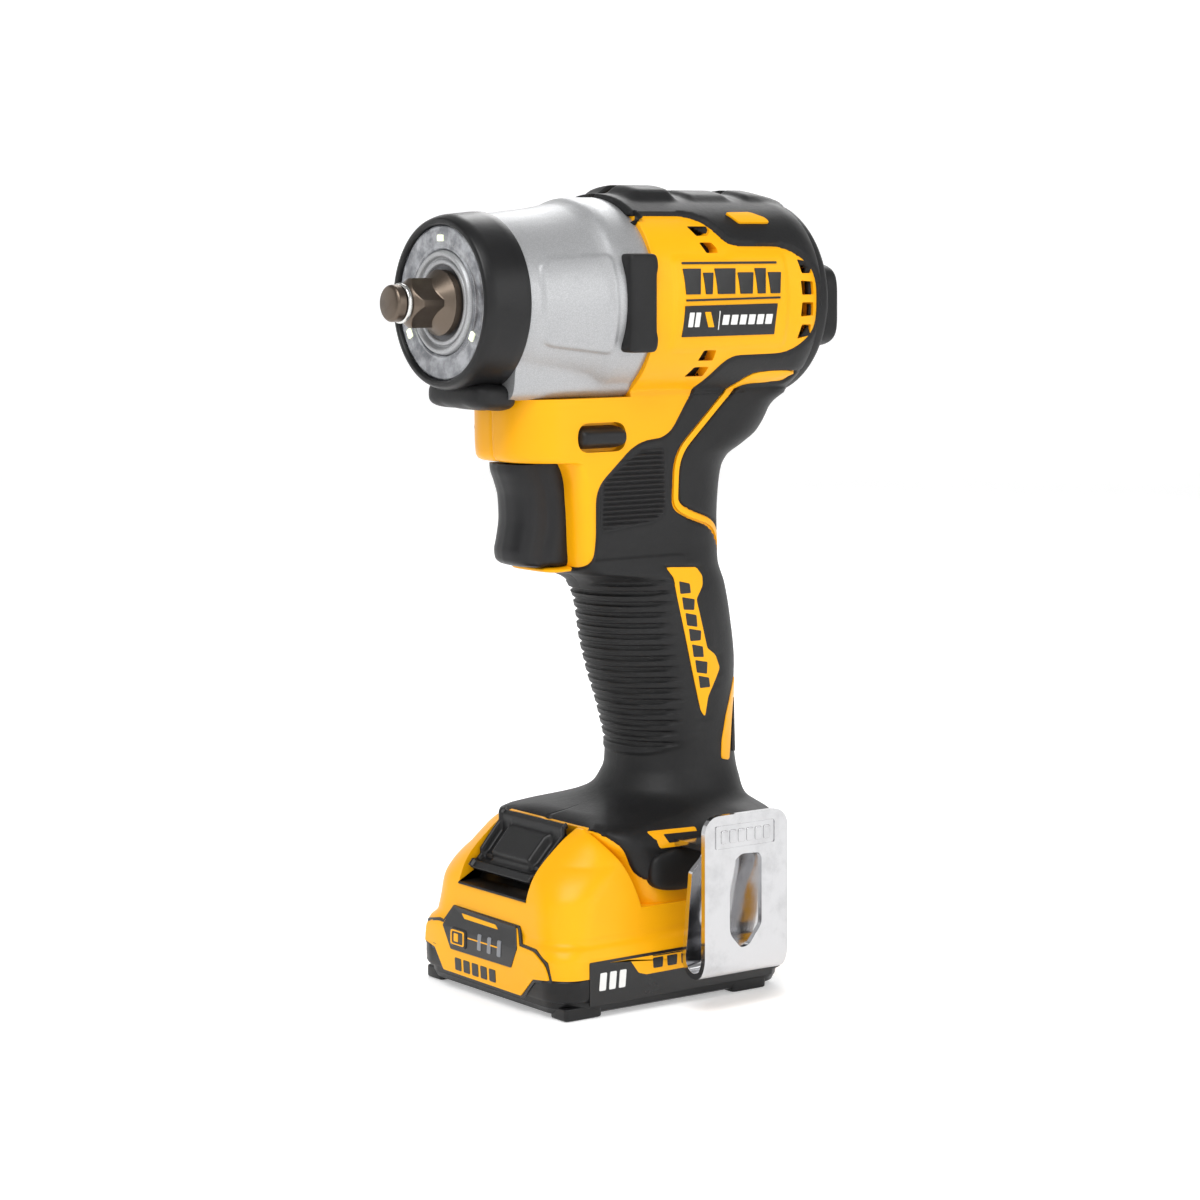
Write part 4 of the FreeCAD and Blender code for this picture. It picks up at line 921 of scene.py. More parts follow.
    @property
    def grip_outline(self) -> Array:
        """Grip, foot and the strip under the barrel, in front of the thin yellow line."""
        return rounded([
            (-13.9, 124.5, 4), (-1.1, 135.6, 5), (8.4, 136.2, 4), (21.6, 156.4, 4), (41.0, 156.6, 9),
            (48.6, 162.5, 6), (48.6, 170, 1), (95, 170), (95, 151.9), (46.0, 151.9, 1), (31.3, 151.9, 3),
            (9.9, 132.0, 5), (9.3, 118.4, 4), (14.0, 115.9, 4), (24.0, 112.8, 6), (28.9, 106.5, 5), (95, 99.5),
            (95, 30.0), (-7.4, 30.0, 2), (-10.2, 32.0, 2), (-13.2, 38.5, 5), (-18.2, 42.6, 1), (-95, 42.6),
            (-95, 104.5), (-18.0, 104.3, 2), (-14.6, 107.4, 4), (-13.9, 112.0, 3)], 1.0)

    @property
    def web_outline(self) -> Array:
        """Palm web behind the thin yellow line."""
        return rounded([(11.7, 131.3, 5), (11.3, 119.8, 4), (15.2, 117.7, 4), (25.4, 114.6, 6), (31.0, 108.0, 5),
                        (95, 101.3), (95, 151.9), (46.2, 151.9, 0.5), (44.0, 149.3, 3), (30.8, 148.9, 3)], 1.0)

    @property
    def bumper_outline(self) -> Array:
        """Black cap over the barrel, down to the yellow name field."""
        return rounded([(-6, 190.9), (12.0, 190.9, 4), (17.0, 189.2, 4), (21.4, 183.6, 3), (40.0, 183.4, 9),
                        (48.6, 177.0, 7), (48.6, 168, 1), (95, 168), (95, 230), (-6, 230)], 1.0)

    @property
    def bumper_window(self) -> Array:
        """Yellow inset in the cap."""
        return rounded([(24.6, 190.6), (26.9, 188.3), (36.6, 188.3, 1), (36.0, 189.4, 1), (32.2, 190.7, 1)], 0.4)

    @property
    def hook_slot(self) -> Array:
        """Yellow inset round the gap for the belt hook's tab."""
        return rounded([(-6.5, 41.2), (8.0, 40.9), (8.0, 37.6), (-4.2, 37.8)], 0.4)

    def ribs(self, x: Array, y: Array, z: Array) -> Array:
        """Depth of the grip's grooves: round-ended slots down each side and scallops across the front."""
        depth = np.full(x.shape, -9.0)
        for k in range(self.rib_count):
            height = self.first_rib - self.rib_pitch * k
            first = float(curve([(56.0, -0.4), (64.0, -2.6), (78.0, -6.2), (90.0, -9.2), (98.0, -10.7)], height))
            last = float(curve([(56.0, 10.6), (70.0, 10.9), (90.0, 8.4), (98.0, 6.7), (101.0, 5.4)], height))
            first = first + (4.6 if k == 0 else 1.6)
            depth = np.maximum(depth, depth_in_slot(x, z, ((first, height), (last, height)), 0.52))
        grooves = smooth(-0.12, 0.14, depth) * 0.8
        front = curve(self.front_knots, z)
        at_front = smooth(4.4, 1.8, x - front) * smooth(57.0, 59.5, z) * smooth(98.0, 95.0, z)
        wave = 1 - np.cos((z - self.first_rib) * 2 * math.pi / self.rib_pitch)
        scallops = at_front * 0.26 * wave * smooth(10.5, 8.5, np.abs(y))
        return grooves + scallops

    def hatch(self, x: Array, z: Array) -> Array:
        """Height of the fine cross ribs above the grip: a cosine of height inside the hatch panel."""
        panel = rounded([(-12.4, 126.0), (-0.8, 133.6), (7.0, 133.8), (7.4, 117.8), (4.0, 115.4), (-12.6, 113.6)],
                        1.5)
        inside = depth_inside(x, z, panel)
        ribs = smooth(0.2, 0.6, inside) * 0.26 * (np.cos(z * 2 * math.pi / 1.2) - 0.2)
        return ribs - 0.25 * np.exp(-((inside / 0.35) ** 2))

    def skin_piece(self, name: str, z: Array, inside: Callable[[Array, Array], Array],
                   detail: Callable[[Array], Array], wall: float = 1.1, side: int = 0) -> bpy.types.Object:
        """An overmoulded skin: the body's surface, proud inside an outline and sunk outside it.

        Args:
            name: Name of the piece.
            z: Heights of its sections.
            inside: Distance inside the outline in the side view.
            detail: Further lift at each point of the grid.
            wall: Thickness of the skin.
            side: -1 or 1 for one half of the body, 0 for both.

        Returns:
            The closed piece.
        """
        base = self.surface(z, 104 if side else 64)
        depth = inside(base[..., 0], base[..., 2])
        lift = np.clip(depth * 1.6, -0.9, self.skin) + np.where(depth > 0.2, detail(base), 0)
        skin = lifted(base, lift)
        if side:
            half = base.shape[1] // 2 + 1
            skin = skin[:, :half] if side < 0 else np.concatenate([skin[:, half - 1:], skin[:, :1]], 1)
            depth = depth[:, :half] if side < 0 else np.concatenate([depth[:, half - 1:], depth[:, :1]], 1)
        whole = mesh_of(name, skin, closed=not side, caps=False, keep=depth > -1.5, sharp=60)
        return thickened(whole, wall)

    def vent_cutters(self) -> list[bpy.types.Object]:
        """Slanted prisms, one for each cooling slot, through both sides' walls."""
        slots = []
        for k, z in enumerate((178.4, 173.0, 167.5, 161.9)):
            lean = (0.9, 0.3, -0.3, -0.9)[k]
            slots.append([(42.9 - lean * 0.5, z + 1.8), (47.3 - 0.6 * abs(lean), z + 1.8 - max(lean, 0) * 0.9),
                          (47.5 - 0.6 * abs(lean), z - 1.8 - min(lean, 0) * 0.9), (42.9 + lean * 0.5, z - 1.8)])
        slots += [[(11.0, 188.4), (17.2, 188.4), (17.6, 187.2), (16.0, 186.0), (12.6, 186.0)],
                  [(12.6, 184.4), (16.4, 184.4), (17.6, 183.0), (17.6, 181.8), (14.0, 181.8)],
                  [(13.4, 157.8), (17.2, 157.8), (17.2, 155.2), (12.4, 155.2)],
                  [(12.2, 153.6), (16.8, 153.6), (16.4, 151.2), (10.6, 151.2)]]
        cutters = []
        for k, slot in enumerate(slots):
            outline = rounded(slot, 0.35, 3)
            for side in (-1, 1):
                reach = float(self.side_reach(np.array(outline[:, 0].mean()), np.array(outline[:, 1].mean())))
                cutters.append(prism(f"vent_{k}_{side}", outline, side * (reach - self.vent_depth),
                                     side * (reach + 4.0)))
        obround = rounded([(-19.3, 140.5), (-4.7, 140.5), (-4.7, 133.3), (-19.3, 133.3)], 3.5, 8)
        return cutters + [prism(f"button_slot_{side}", obround, side * 13.0, side * 20.0) for side in (-1, 1)]

    def shell(self) -> bpy.types.Object:
        """Yellow clamshell with a raised name field, a seam, cut vents, and a bed for the overmould 0.6 below it."""
        base = self.surface(self.heights(0.9, 0.9))
        x, y, z = base[..., 0], base[..., 1], base[..., 2]
        field = rounded([(2.6, 180.6), (19.5, 180.2), (21.5, 181.4), (38.0, 181.4), (38.4, 158.6), (2.2, 157.9)], 1.2)
        lift = 0.35 * smooth(-0.5, 0.5, depth_inside(x, z, field))
        seam = np.exp(-((y / 0.35) ** 2)) * 0.25
        covered = np.maximum(depth_inside(x, z, self.grip_outline), depth_inside(x, z, self.web_outline))
        lift = lift - 0.6 * smooth(0.9, 1.8, covered)
        piece = mesh_of("housing_shell", lifted(base, lift - seam))
        cutter = merged("vent_cutters", self.vent_cutters())
        return carved(piece, cutter)

    def vent_backs(self) -> bpy.types.Object:
        """Dark plates deep inside the vents: painted shade for the dark space behind the slots."""
        strips = []
        for side in (-1, 1):
            for k, (x0, x1, z0, z1) in enumerate(((41.5, 47.8, 158.8, 181.0), (10.4, 18.4, 180.5, 189.2),
                                                  (9.6, 18.0, 150.4, 158.8))):
                outline = rounded([(x0, z0), (x1, z0), (x1, z1), (x0, z1)], 1.0)

                def place(x: Array, z: Array, lift: float, side: int = side) -> Array:
                    """A point straight in from the side."""
                    return np.stack([x, side * (self.side_reach(x, z) + lift), z], -1)
                strips.append(slab(f"back_{side}_{k}", outline, place, -4.2, -3.4))
        return merged("vent_backs", strips)

    def print_bars(self) -> dict[str, tuple[Finish, list[Array]]]:
        """Outlines of the printed name field, as plain bars and slanted dashes that spell nothing."""
        black = [[(5.2, 179.5), (35.2, 179.5), (35.2, 179.0), (5.2, 179.0)],
                 [(5.7, 170.5), (35.5, 170.9), (35.5, 170.4), (5.7, 170.0)]]
        widths = (5.6, 3.2, 6.6, 5.0, 3.6, 4.2)
        place = 5.2
        for k, width in enumerate(widths):
            tall = 177.9 if k % 2 == 0 else 176.9
            black.append([(place, tall), (place + width, tall), (place + width - 0.7, 171.7), (place + 0.5, 171.7)])
            place += width + 0.55
        plate = [[(5.4, 168.9), (34.6, 169.2), (34.2, 161.6), (5.0, 161.4)]]
        white = [[(16.0, 167.6), (16.25, 167.6), (16.1, 163.0), (15.85, 163.0)]]
        white += [[(17.3 + 2.75 * k, 166.6), (19.3 + 2.75 * k, 166.6), (19.0 + 2.75 * k, 164.2),
                   (17.0 + 2.75 * k, 164.2)] for k in range(6)]
        white += [[(6.8 + 2.0 * k, 167.3), (8.2 + 2.0 * k, 167.3), (7.9 + 2.0 * k, 163.8), (6.5 + 2.0 * k, 163.8)]
                  for k in range(2)]
        gold = [[(11.4, 167.4), (13.2, 167.4), (14.6, 163.7), (12.8, 163.7)]]
        made = {"name_bars": (Finish.LABEL_BLACK, black), "name_plate": (Finish.LABEL_BLACK, plate),
                "name_dashes": (Finish.LABEL_WHITE, white), "name_chevron": (Finish.YELLOW_SHELL, gold)}
        return {key: (finish, [rounded(p, 0.12, 3) for p in outlines]) for key, (finish, outlines) in made.items()}

    def build(self, bench: Bench) -> None:
        """Makes and places every piece of the body."""
        bench.put(self.shell(), Finish.YELLOW_SHELL, "housing", "yellow_shell", "housing_left", "housing_right")
        # Painted shade: dark plates deep in the vents.
        bench.put(self.vent_backs(), Finish.DARK_RECESS, "housing", "black_nylon")

        def droop(x: Array, y: Array, z: Array) -> tuple[Array, Array, Array]:
            """Narrows the lip forwards and turns its rear upwards."""
            front = smooth(-13.0, -23.0, x)
            return x, y * (1 - 0.22 * front), z + 0.8 * (1 - front) ** 2

        bench.put(pillow("guard_lip", (-17.6, 0, 104.3), (5.6, 11.6, 0.75), (5, 3), 40, droop), Finish.YELLOW_SHELL,
                  "housing", "yellow_shell")
        grip, web = self.grip_outline, self.web_outline
        badge_well = rounded([
            (6.0, 104.7), (16.4, 104.2), (18.9, 101.5), (18.9, 98.6), (16.9, 95.6), (20.6, 83.4), (23.4, 81.5),
            (25.2, 77.6), (21.0, 70.6), (20.0, 64.5), (17.6, 67.0), (8.6, 101.6)], 0.8)
        
        def in_grip(x: Array, z: Array) -> Array:
            """Inside the grip or the web."""
            return np.maximum(depth_inside(x, z, grip), depth_inside(x, z, web))

        def grip_detail(base: Array) -> Array:
            """Hatch, ribs, the shallow inlay well and the step above the foot."""
            x, y, z = base[..., 0], base[..., 1], base[..., 2]
            well = 0.30 * smooth(-0.3, 0.3, depth_inside(x, z, badge_well))
            band = [(-60, 60.6), (7.0, 56.6), (16.1, 60.4), (20.8, 69.0), (22.8, 77.0), (18.2, 97.0), (14.0, 107.0),
                    (-60, 107.0)]
            raised = 0.35 * smooth(-0.5, 0.5, depth_inside(x, z, rounded(band, 3.0)))
            return self.hatch(x, z) - self.ribs(x, y, z) - well + raised

        for side, name in ((-1, "left"), (1, "right")):
            skin = self.skin_piece(f"grip_overmould_{name}", self.heights(0.8, 0.24), in_grip, grip_detail, side=side)
            bench.put(skin, Finish.SOFT_GRIP, "housing", "soft_grip", f"grip_{name}")
        bench.put(self.pinstripes(), Finish.YELLOW_SHELL, "housing", "yellow_shell")
        cap = self.bumper_outline

        def in_cap(x: Array, z: Array) -> Array:
            """Inside the cap."""
            return depth_inside(x, z, cap)

        def lumps(base: Array) -> Array:
            """Thicker crown, with three pads along its top and hollows between them."""
            x, y, z = base[..., 0], base[..., 1], base[..., 2]
            crown = smooth(189.5, 193.5, z)
            pads = (smooth(-1.5, 3.5, x) * smooth(15.5, 12.0, x) * 2.2
                    + smooth(17.5, 20.0, x) * smooth(32.5, 30.0, x) * 1.0
                    + smooth(35.5, 38.0, x) * smooth(51.0, 48.0, x) * 1.1)
            return 0.55 + crown * (pads * smooth(12.0, 8.5, np.abs(y)) - 0.2)

        bench.put(self.skin_piece("top_bumper_cap", self.heights(0.7, 0.9), in_cap, lumps, 1.6),
                  Finish.SOFT_GRIP, "housing", "soft_grip", "top_bumper")
        ring = np.array([(48.2, 20.0), (48.4, 24.3), (49.2, 25.1), (51.4, 24.9), (53.6, 23.2), (54.8, 19.4),
                         (55.3, 14.0), (55.4, 7.0), (55.5, 0.4)])
        steps = np.linspace(0, 1, 60)
        smooth_ring = np.stack([curve(list(zip(np.linspace(0, 1, 9), ring[:, k])), steps) for k in (0, 1)], -1)
        dome = turned("rear_dome", smooth_ring, self.axis)
        pad = pillow("rear_pad", (55.0, 0.0, 168.4), (4.9, 21.4, 11.0), (7.0, 5.0))
        bench.put(merged("rear_bumper_cap", [dome, pad]), Finish.SOFT_GRIP, "housing", "soft_grip", "rear_bumper")
        badges = []
        inlay = rounded([(6.6, 104.1), (16.2, 103.6), (18.3, 101.2), (18.3, 98.9), (16.2, 95.7), (20.0, 83.1),
                         (22.9, 81.2), (24.6, 77.7), (20.5, 71.0), (19.6, 66.0), (18.3, 67.6), (9.1, 101.4)], 0.7)
        for side in (-1, 1):
            badges.append(self.inlay_piece(f"badge_{side}", inlay, side))
        bench.put(merged("grip_badges", badges), Finish.YELLOW_SHELL, "housing", "yellow_shell")
        leaf = rounded([(33.0, 74.6), (30.4, 70.6), (27.6, 65.4), (25.6, 59.5), (25.3, 54.8), (28.6, 54.0),
                        (29.7, 59.8), (30.6, 64.2), (32.0, 68.2), (34.4, 71.8)], 0.8)
        # Painted shade: tab_gap is a dark plate in the gap where the hook's tab goes in, heel a dark strip behind the
        # leaf.
        tab_gap = rounded([(-2.4, 40.3), (8.9, 40.0), (8.9, 38.4), (-1.6, 38.6)], 0.3)
        heel = rounded([(33.2, 69.4), (31.4, 65.4), (30.6, 61.0), (30.2, 56.0), (32.8, 55.4), (33.8, 62.0)], 0.6)
        insets = {"yellow_insets": (Finish.YELLOW_SHELL, [(self.bumper_window, 1.0, 1.75), (self.hook_slot, 0.1, 0.8),
                                                          (leaf, 0.1, 0.8)]),
                  "dark_insets": (Finish.DARK_RECESS, [(tab_gap, 0.4, 0.95), (heel, 0.1, 0.9)])}
        for name, (finish, plates) in insets.items():
            bench.put(merged(name, [slab(f"{name}_{side}_{k}", outline, self.on_side(side), low, high, 0.15)
                                    for side in (-1, 1) for k, (outline, low, high) in enumerate(plates)]),
                      finish, "housing", "yellow_shell")
        marks = []
        for side in (-1, 1):
            for k in range(7):
                z = 98.8 - 4.0 * k
                x = 12.6 + 0.277 * (98.6 - z)
                outline = rounded([(x - 1.9, z + 1.7), (x + 1.5 + 0.5 * (k % 2), z + 0.9),
                                   (x + 1.9, z - 1.5 - 0.3 * (k % 3)), (x - 1.3, z - 1.5)], 0.3, 3)
                marks.append(slab(f"mark_{side}_{k}", outline, self.on_side(side), 0.5, 0.92, 0.06))
        bench.put(merged("badge_marks", marks), Finish.LABEL_BLACK, "housing", "label_black")
        for name, (finish, outlines) in self.print_bars().items():
            lift = {"name_bars": 0.62, "name_plate": 0.62}.get(name, 0.72)
            bars = [slab(f"{name}_{side}_{k}", outline, self.on_side(side), lift - 0.3, lift, 0.03)
                    for side in (-1, 1) for k, outline in enumerate(outlines)]
            nodes = ("name_panels",) if name == "name_plate" else ()
            bench.put(merged(name, bars), finish, "housing", "label_black", *nodes)

    def pinstripes(self) -> bpy.types.Object:
        """Thin yellow line between the grip and the web, which widens to a leaf under the barrel."""
        route = rounded([(44.6, 151.2, 1), (38.0, 150.9, 1), (30.9, 150.5, 3), (10.8, 131.7, 5), (10.3, 119.1, 4),
                         (14.6, 116.8, 4), (24.7, 113.7, 6), (29.5, 107.6, 5), (30.6, 103.0, 1)], 1.0, 9)[9:-9]
        route = np.concatenate([[(45.2, 151.6)], route])
        steps = np.concatenate([[0], np.cumsum(np.linalg.norm(np.diff(route, axis=0), axis=1))])
        place = np.linspace(0, steps[-1], 260)
        line = np.stack([np.interp(place, steps, route[:, k]) for k in (0, 1)], -1)
        width = curve([(0, 0.15), (3.0, 1.0), (8.0, 1.45), (12.5, 1.3), (17.0, 0.72), (200.0, 0.72)], place)
        return merged("pinstripes", [ribbon(f"stripe_{side}", line, width, self.on_side(side), -0.4, 0.62)
                                     for side in (-1, 1)])

    def inlay_piece(self, name: str, outline: Array, side: int) -> bpy.types.Object:
        """Inlay between the edges of an outline: rows across it at each height, from its left to its right edge."""
        z = np.linspace(outline[:, 1].min() + 0.05, outline[:, 1].max() - 0.05, 90)
        fine = np.linspace(outline[:, 0].min() - 1, outline[:, 0].max() + 1, 700)
        spread = depth_inside(np.repeat(fine[None], 90, 0), np.repeat(z[:, None], 700, 1), outline) > 0
        left, right = fine[spread.argmax(1)], fine[699 - spread[:, ::-1].argmax(1)]
        share = np.linspace(0, 1, 12)
        x = left[:, None] + (right - left)[:, None] * share
        tall = np.repeat(z[:, None], 12, 1)
        place = self.on_side(side)
        top, under = place(x, tall, 0.85), place(x, tall, 0.3)
        loop = np.concatenate([top, under[:, ::-1]], 1)
        return mesh_of(name, loop, sharp=40)


# ---------------------------------------------------------------- nose

@dataclass(frozen=True)
class Nose:
    """Cast hammer case with its keel and raised side panels, rubber nose ring, lamp ring and pads."""

    axis: float = 170.0
    lamp_circle: float = 15.6
    keel_half: float = 15.2
    keel_drop: float = 23.7
    radius_knots: tuple[Point, ...] = (
        (-37.7, 21.3), (-36.0, 21.5), (-17.5, 23.9), (-15.5, 24.5), (-13.0, 25.4), (-11.0, 25.6), (-4.5, 25.6),
        (-2.6, 25.3))

    def case(self) -> bpy.types.Object:
        """Case: radius about the axis is the larger of the cone's and a rounded keel's, softly joined."""
        x = np.concatenate([np.arange(-37.7, -18.0, 0.6), np.arange(-18.0, -2.5, 0.4)])[:, None]
        turn = np.linspace(0, 2 * math.pi, 288, endpoint=False)[None]
        cone = curve(self.radius_knots, x) + 0 * turn
        down = np.clip(-np.cos(turn), 1e-6, None)
        keel = ((np.abs(np.sin(turn)) / self.keel_half) ** 9 + (down / self.keel_drop) ** 9) ** (-1 / 9)
        keel = np.where(np.cos(turn) < 0, keel, 0) * smooth(0.0, 0.35, -np.cos(turn))
        radius = soft_max(cone, keel, 2.2)
        points = np.stack([x + 0 * turn, -radius * np.sin(turn), self.axis + radius * np.cos(turn)], -1)
        panel = rounded([(-34.2, 178.6), (-31.0, 180.9), (-14.4, 181.4), (-13.8, 157.6), (-33.6, 160.1, 4)], 1.5)
        raised = smooth(-0.55, 0.55, depth_inside(points[..., 0], points[..., 2], panel))
        lift = 0.5 * raised * (np.abs(points[..., 1]) > 9)
        shell = mesh_of("case_shell", lifted(points, lift), sharp=40)
        face = np.array([(-40.0, 8.9), (-46.6, 8.9), (-47.7, 9.2), (-48.0, 9.7), (-47.9, 10.3), (-47.2, 10.6),
                         (-47.3, 10.9), (-48.2, 11.2), (-48.5, 11.7), (-48.3, 12.3), (-47.4, 12.7), (-46.4, 12.8),
                         (-44.0, 18.3), (-38.0, 20.9), (-37.6, 20.9), (-37.6, 14.0)])
        face[:, 0] -= 0.9 * (face[:, 0] < -46)
        ring = ring_of("case_face", rounded([tuple(p) for p in face], 0.35, 4), self.axis)
        return merged("hammer_case", [shell, ring])

    def nose_ring(self) -> bpy.types.Object:
        """Rubber ring: flared outer wall, rolled front lip and a seat for the lens."""
        loop = [(-37.3, 21.0), (-37.5, 21.95, 0.6), (-39.5, 22.05, 2), (-47.4, 21.35, 2), (-49.6, 20.4, 1.0),
                (-49.7, 19.1, 0.6), (-48.9, 18.8, 0.4), (-46.2, 18.7, 0.4), (-44.4, 18.4, 0.3)]
        return ring_of("nose_ring", rounded(loop, 0.3, 8), self.axis)

    def lens(self) -> bpy.types.Object:
        """Domed lens ring with two shallow steps."""
        loop = [(-46.4, 12.75), (-48.2, 12.75, 0.3), (-48.7, 13.3, 0.3), (-48.5, 13.9, 0.3), (-49.0, 15.4, 2),
                (-48.8, 17.4, 0.6), (-48.9, 18.0, 0.3), (-48.6, 18.75, 0.3), (-46.4, 18.75)]
        return ring_of("lamp_lens", rounded(loop, 0.2, 6), self.axis)

    def lamps(self) -> bpy.types.Object:
        """Three small square lamps set round the lens ring."""
        made = []
        for k, angle in enumerate((90.0, 210.0, 330.0)):
            a = math.radians(angle)

            def turn(x: Array, y: Array, z: Array, a: float = a) -> tuple[Array, Array, Array]:
                """Moves the block out to its place and turns it to face the axis."""
                out = z + self.lamp_circle
                return x, y * math.sin(a) + out * math.cos(a), self.axis - y * math.cos(a) + out * math.sin(a)
            made.append(pillow(f"lamp_{k}", (-49.0, 0, 0), (0.4, 1.15, 0.8), (8, 8), 16, turn))
        return merged("nose_lamps", made)

    def pads(self) -> bpy.types.Object:
        """Rubber pads over the joint of case and shell, waisted along their front edge."""
        def waist(x: Array, y: Array, z: Array) -> tuple[Array, Array, Array]:
            """Front edge drawn back in the middle, rear corners stepped out."""
            high = np.abs(z - 169.8) / 12.0
            front = np.clip((-8.0 - x) / 4.3, 0, 1)
            rear = np.clip((x + 8.0) / 4.3, 0, 1)
            return x + 0.55 * front * (1 - high ** 2) + 0.5 * rear * smooth(0.55, 0.75, high), y, z
        return merged("side_pad_pair", [
            pillow(f"pad_{side}", (-8.0, side * 24.6, 169.8), (4.3, 2.9, 12.0), (5, 9), 56, waist)
            for side in (-1, 1)])

    def chin(self) -> bpy.types.Object:
        """Rubber chin under the nose: a bar across with two lobes."""
        def lobes(x: Array, y: Array, z: Array) -> tuple[Array, Array, Array]:
            """Thins the middle and droops the front."""
            pinch = 1 - 0.10 * np.exp(-(((np.abs(y) - 4.5) / 2.0) ** 2))
            return x, y, 147.1 + (z - 147.1) * pinch + 0.9 * smooth(-34.0, -46.0, x) * (1 - 0.5 * (y / 12.0) ** 2)
        return pillow("chin_bumper", (-40.0, 0, 147.1), (6.6, 12.4, 3.7), (4, 3.2), 56, lobes)

    def build(self, bench: Bench) -> None:
        """Makes and places the nose."""
        bench.put(self.case(), Finish.CAST_CASE, "housing", "cast_aluminium", "gear_case")
        bench.put(self.nose_ring(), Finish.BLACK_NYLON, "housing", "rubber", "nose_bumper")
        bench.put(self.lens(), Finish.LENS, "housing", "clear_lens", "lens_ring")
        bench.put(self.lamps(), Finish.LAMP, "housing", "lamp_white", "lamps")
        bench.put(self.pads(), Finish.SOFT_GRIP, "housing", "rubber", "side_pads")
        bench.put(self.chin(), Finish.SOFT_GRIP, "housing", "rubber", "lower_bumper")


@dataclass(frozen=True)
class Drive:
    """Square drive with its friction ring."""

    axis: float = 170.0
    half: float = 4.765
    corner: float = 6.0
    shank: float = 8.0

    def radius(self, x: Array, turn: Array) -> Array:
        """Radius at a place: a square with cut corners, inside a front chamfer and outside a rear cone.

        Args:
            x: Places along the axis.
            turn: Angles round it, measured from a corner.

        Returns:
            The radius.
        """
        flat = self.half / np.maximum(np.abs(np.cos(turn - math.pi / 4)), np.abs(np.sin(turn - math.pi / 4)))
        square = np.minimum(flat, self.corner)
        front = 4.3 + np.clip(x + 59.6, 0, None) * 0.95
        cone = 4.3 + np.clip(x + 53.6, 0, None) * 0.98
        body = np.maximum(np.minimum(square, front), np.minimum(cone, self.shank))
        pilot = curve([(-64.0, 3.7), (-63.7, 4.15), (-63.2, 4.45), (-61.6, 4.5), (-61.5, 4.5), (-61.45, 3.6),
                       (-59.7, 3.6), (-59.65, 4.3)], x) + 0 * turn
        shaft = np.where(x > -36.2, 11.5, np.where(x > -48.2, self.shank, self.shank - 0.5 * smooth(-48.2, -49.4, x)))
        return np.where(x < -59.62, pilot, np.where(x > -49.6, shaft + 0 * turn, body))

    def anvil(self) -> bpy.types.Object:
        """Drive end and flange from the radius function, with the two struck lugs behind."""
        x = np.unique(np.concatenate([np.linspace(-64, -61.4, 16), np.linspace(-61.45, -59.6, 12),
                                      np.linspace(-59.6, -49.5, 60), np.linspace(-49.5, -36.3, 12),
                                      [-49.41, -48.2, -36.21, -36.19, -35.0]]))[:, None]
        turn = np.linspace(0, 2 * math.pi, 192, endpoint=False)[None]
        radius = self.radius(x, turn)
        points = np.stack([x + 0 * turn, radius * np.sin(turn), self.axis + radius * np.cos(turn)], -1)
        body = mesh_of("anvil_body", points, sharp=28)
        lugs = pillow("anvil_lugs", (-32.7, 0, self.axis), (2.4, 4.2, 16.1), (12, 12), 24)
        return merged("anvil_drive", [body, lugs])

    def build(self, bench: Bench) -> None:
        """Makes and places the drive end."""
        bench.put(self.anvil(), Finish.DRIVE_STEEL, "anvil", "drive_steel", "anvil")
        loop = rounded([(-61.2, 3.7), (-61.2, 4.85, 0.5), (-59.9, 4.85, 0.5), (-59.9, 3.7)], 0.2, 6)
        bench.put(ring_of("friction_ring", loop, self.axis), Finish.RING_STEEL, "anvil", "bright_steel", "hog_ring")


# ---------------------------------------------------------------- controls

@dataclass(frozen=True)
class Controls:
    """Trigger blade and direction button."""

    front_knots: tuple[Point, ...] = (
        (105.2, -27.4), (105.7, -29.3), (107.0, -30.7), (109.0, -31.0), (112.0, -30.4), (117.0, -29.7),
        (122.0, -30.0), (126.0, -31.2), (129.0, -32.3), (130.4, -32.4))

    def trigger(self) -> bpy.types.Object:
        """Blade: a plan outline with a rolled nose and a flared rear, carried down the curved front."""
        z = np.concatenate([[105.2, 105.35, 105.7], np.arange(106.2, 130.2, 0.4), [130.3, 130.4]])[:, None]
        share = np.linspace(0, 1, 44)[None]
        offset = curve([(0, 0), (0.12, 0.35), (0.3, 1.9), (0.45, 4.4), (0.58, 7.2), (0.7, 9.6), (1.0, 18.5)], share)
        width = curve([(0, 0), (0.12, 2.9), (0.3, 6.1), (0.45, 7.0), (0.58, 7.1), (0.7, 8.3), (0.8, 8.6), (1.0, 8.6)],
                      share)
        round_end = np.sqrt(np.clip(1 - (np.clip(107.4 - z, 0, 2.2) / 2.25) ** 2, 0.02, 1))
        x = curve(self.front_knots, z) + offset * (0.75 + 0.25 * round_end)
        x = np.minimum(x, -13.6)
        y = width * (0.82 + 0.18 * round_end)
        near = np.stack([x, -y, z + 0 * y], -1)
        far = np.stack([x, y, z + 0 * y], -1)[:, :0:-1]
        return mesh_of("trigger_blade", np.concatenate([near, far], 1), sharp=50)

    def button(self) -> bpy.types.Object:
        """Direction button: an obround bar across the tool with crowned, scalloped ends."""
        def scallop(x: Array, y: Array, z: Array) -> tuple[Array, Array, Array]:
            """Hollows the ends."""
            hollow = 0.5 * np.exp(-(((x + 12.0) / 3.5) ** 2)) * smooth(14.0, 17.0, np.abs(y))
            return x, y - np.sign(y) * hollow, z
        return pillow("direction_bar", (-12.0, 0, 136.9), (7.1, 17.3, 3.4), (12, 3), 56, scallop)

    def build(self, bench: Bench) -> None:
        """Makes and places the controls."""
        bench.put(self.trigger(), Finish.DARK_TRIGGER, "trigger", "black_nylon", "trigger")
        bench.put(self.button(), Finish.DARK_TRIGGER, "direction_button", "black_nylon", "direction_button")


# ---------------------------------------------------------------- battery

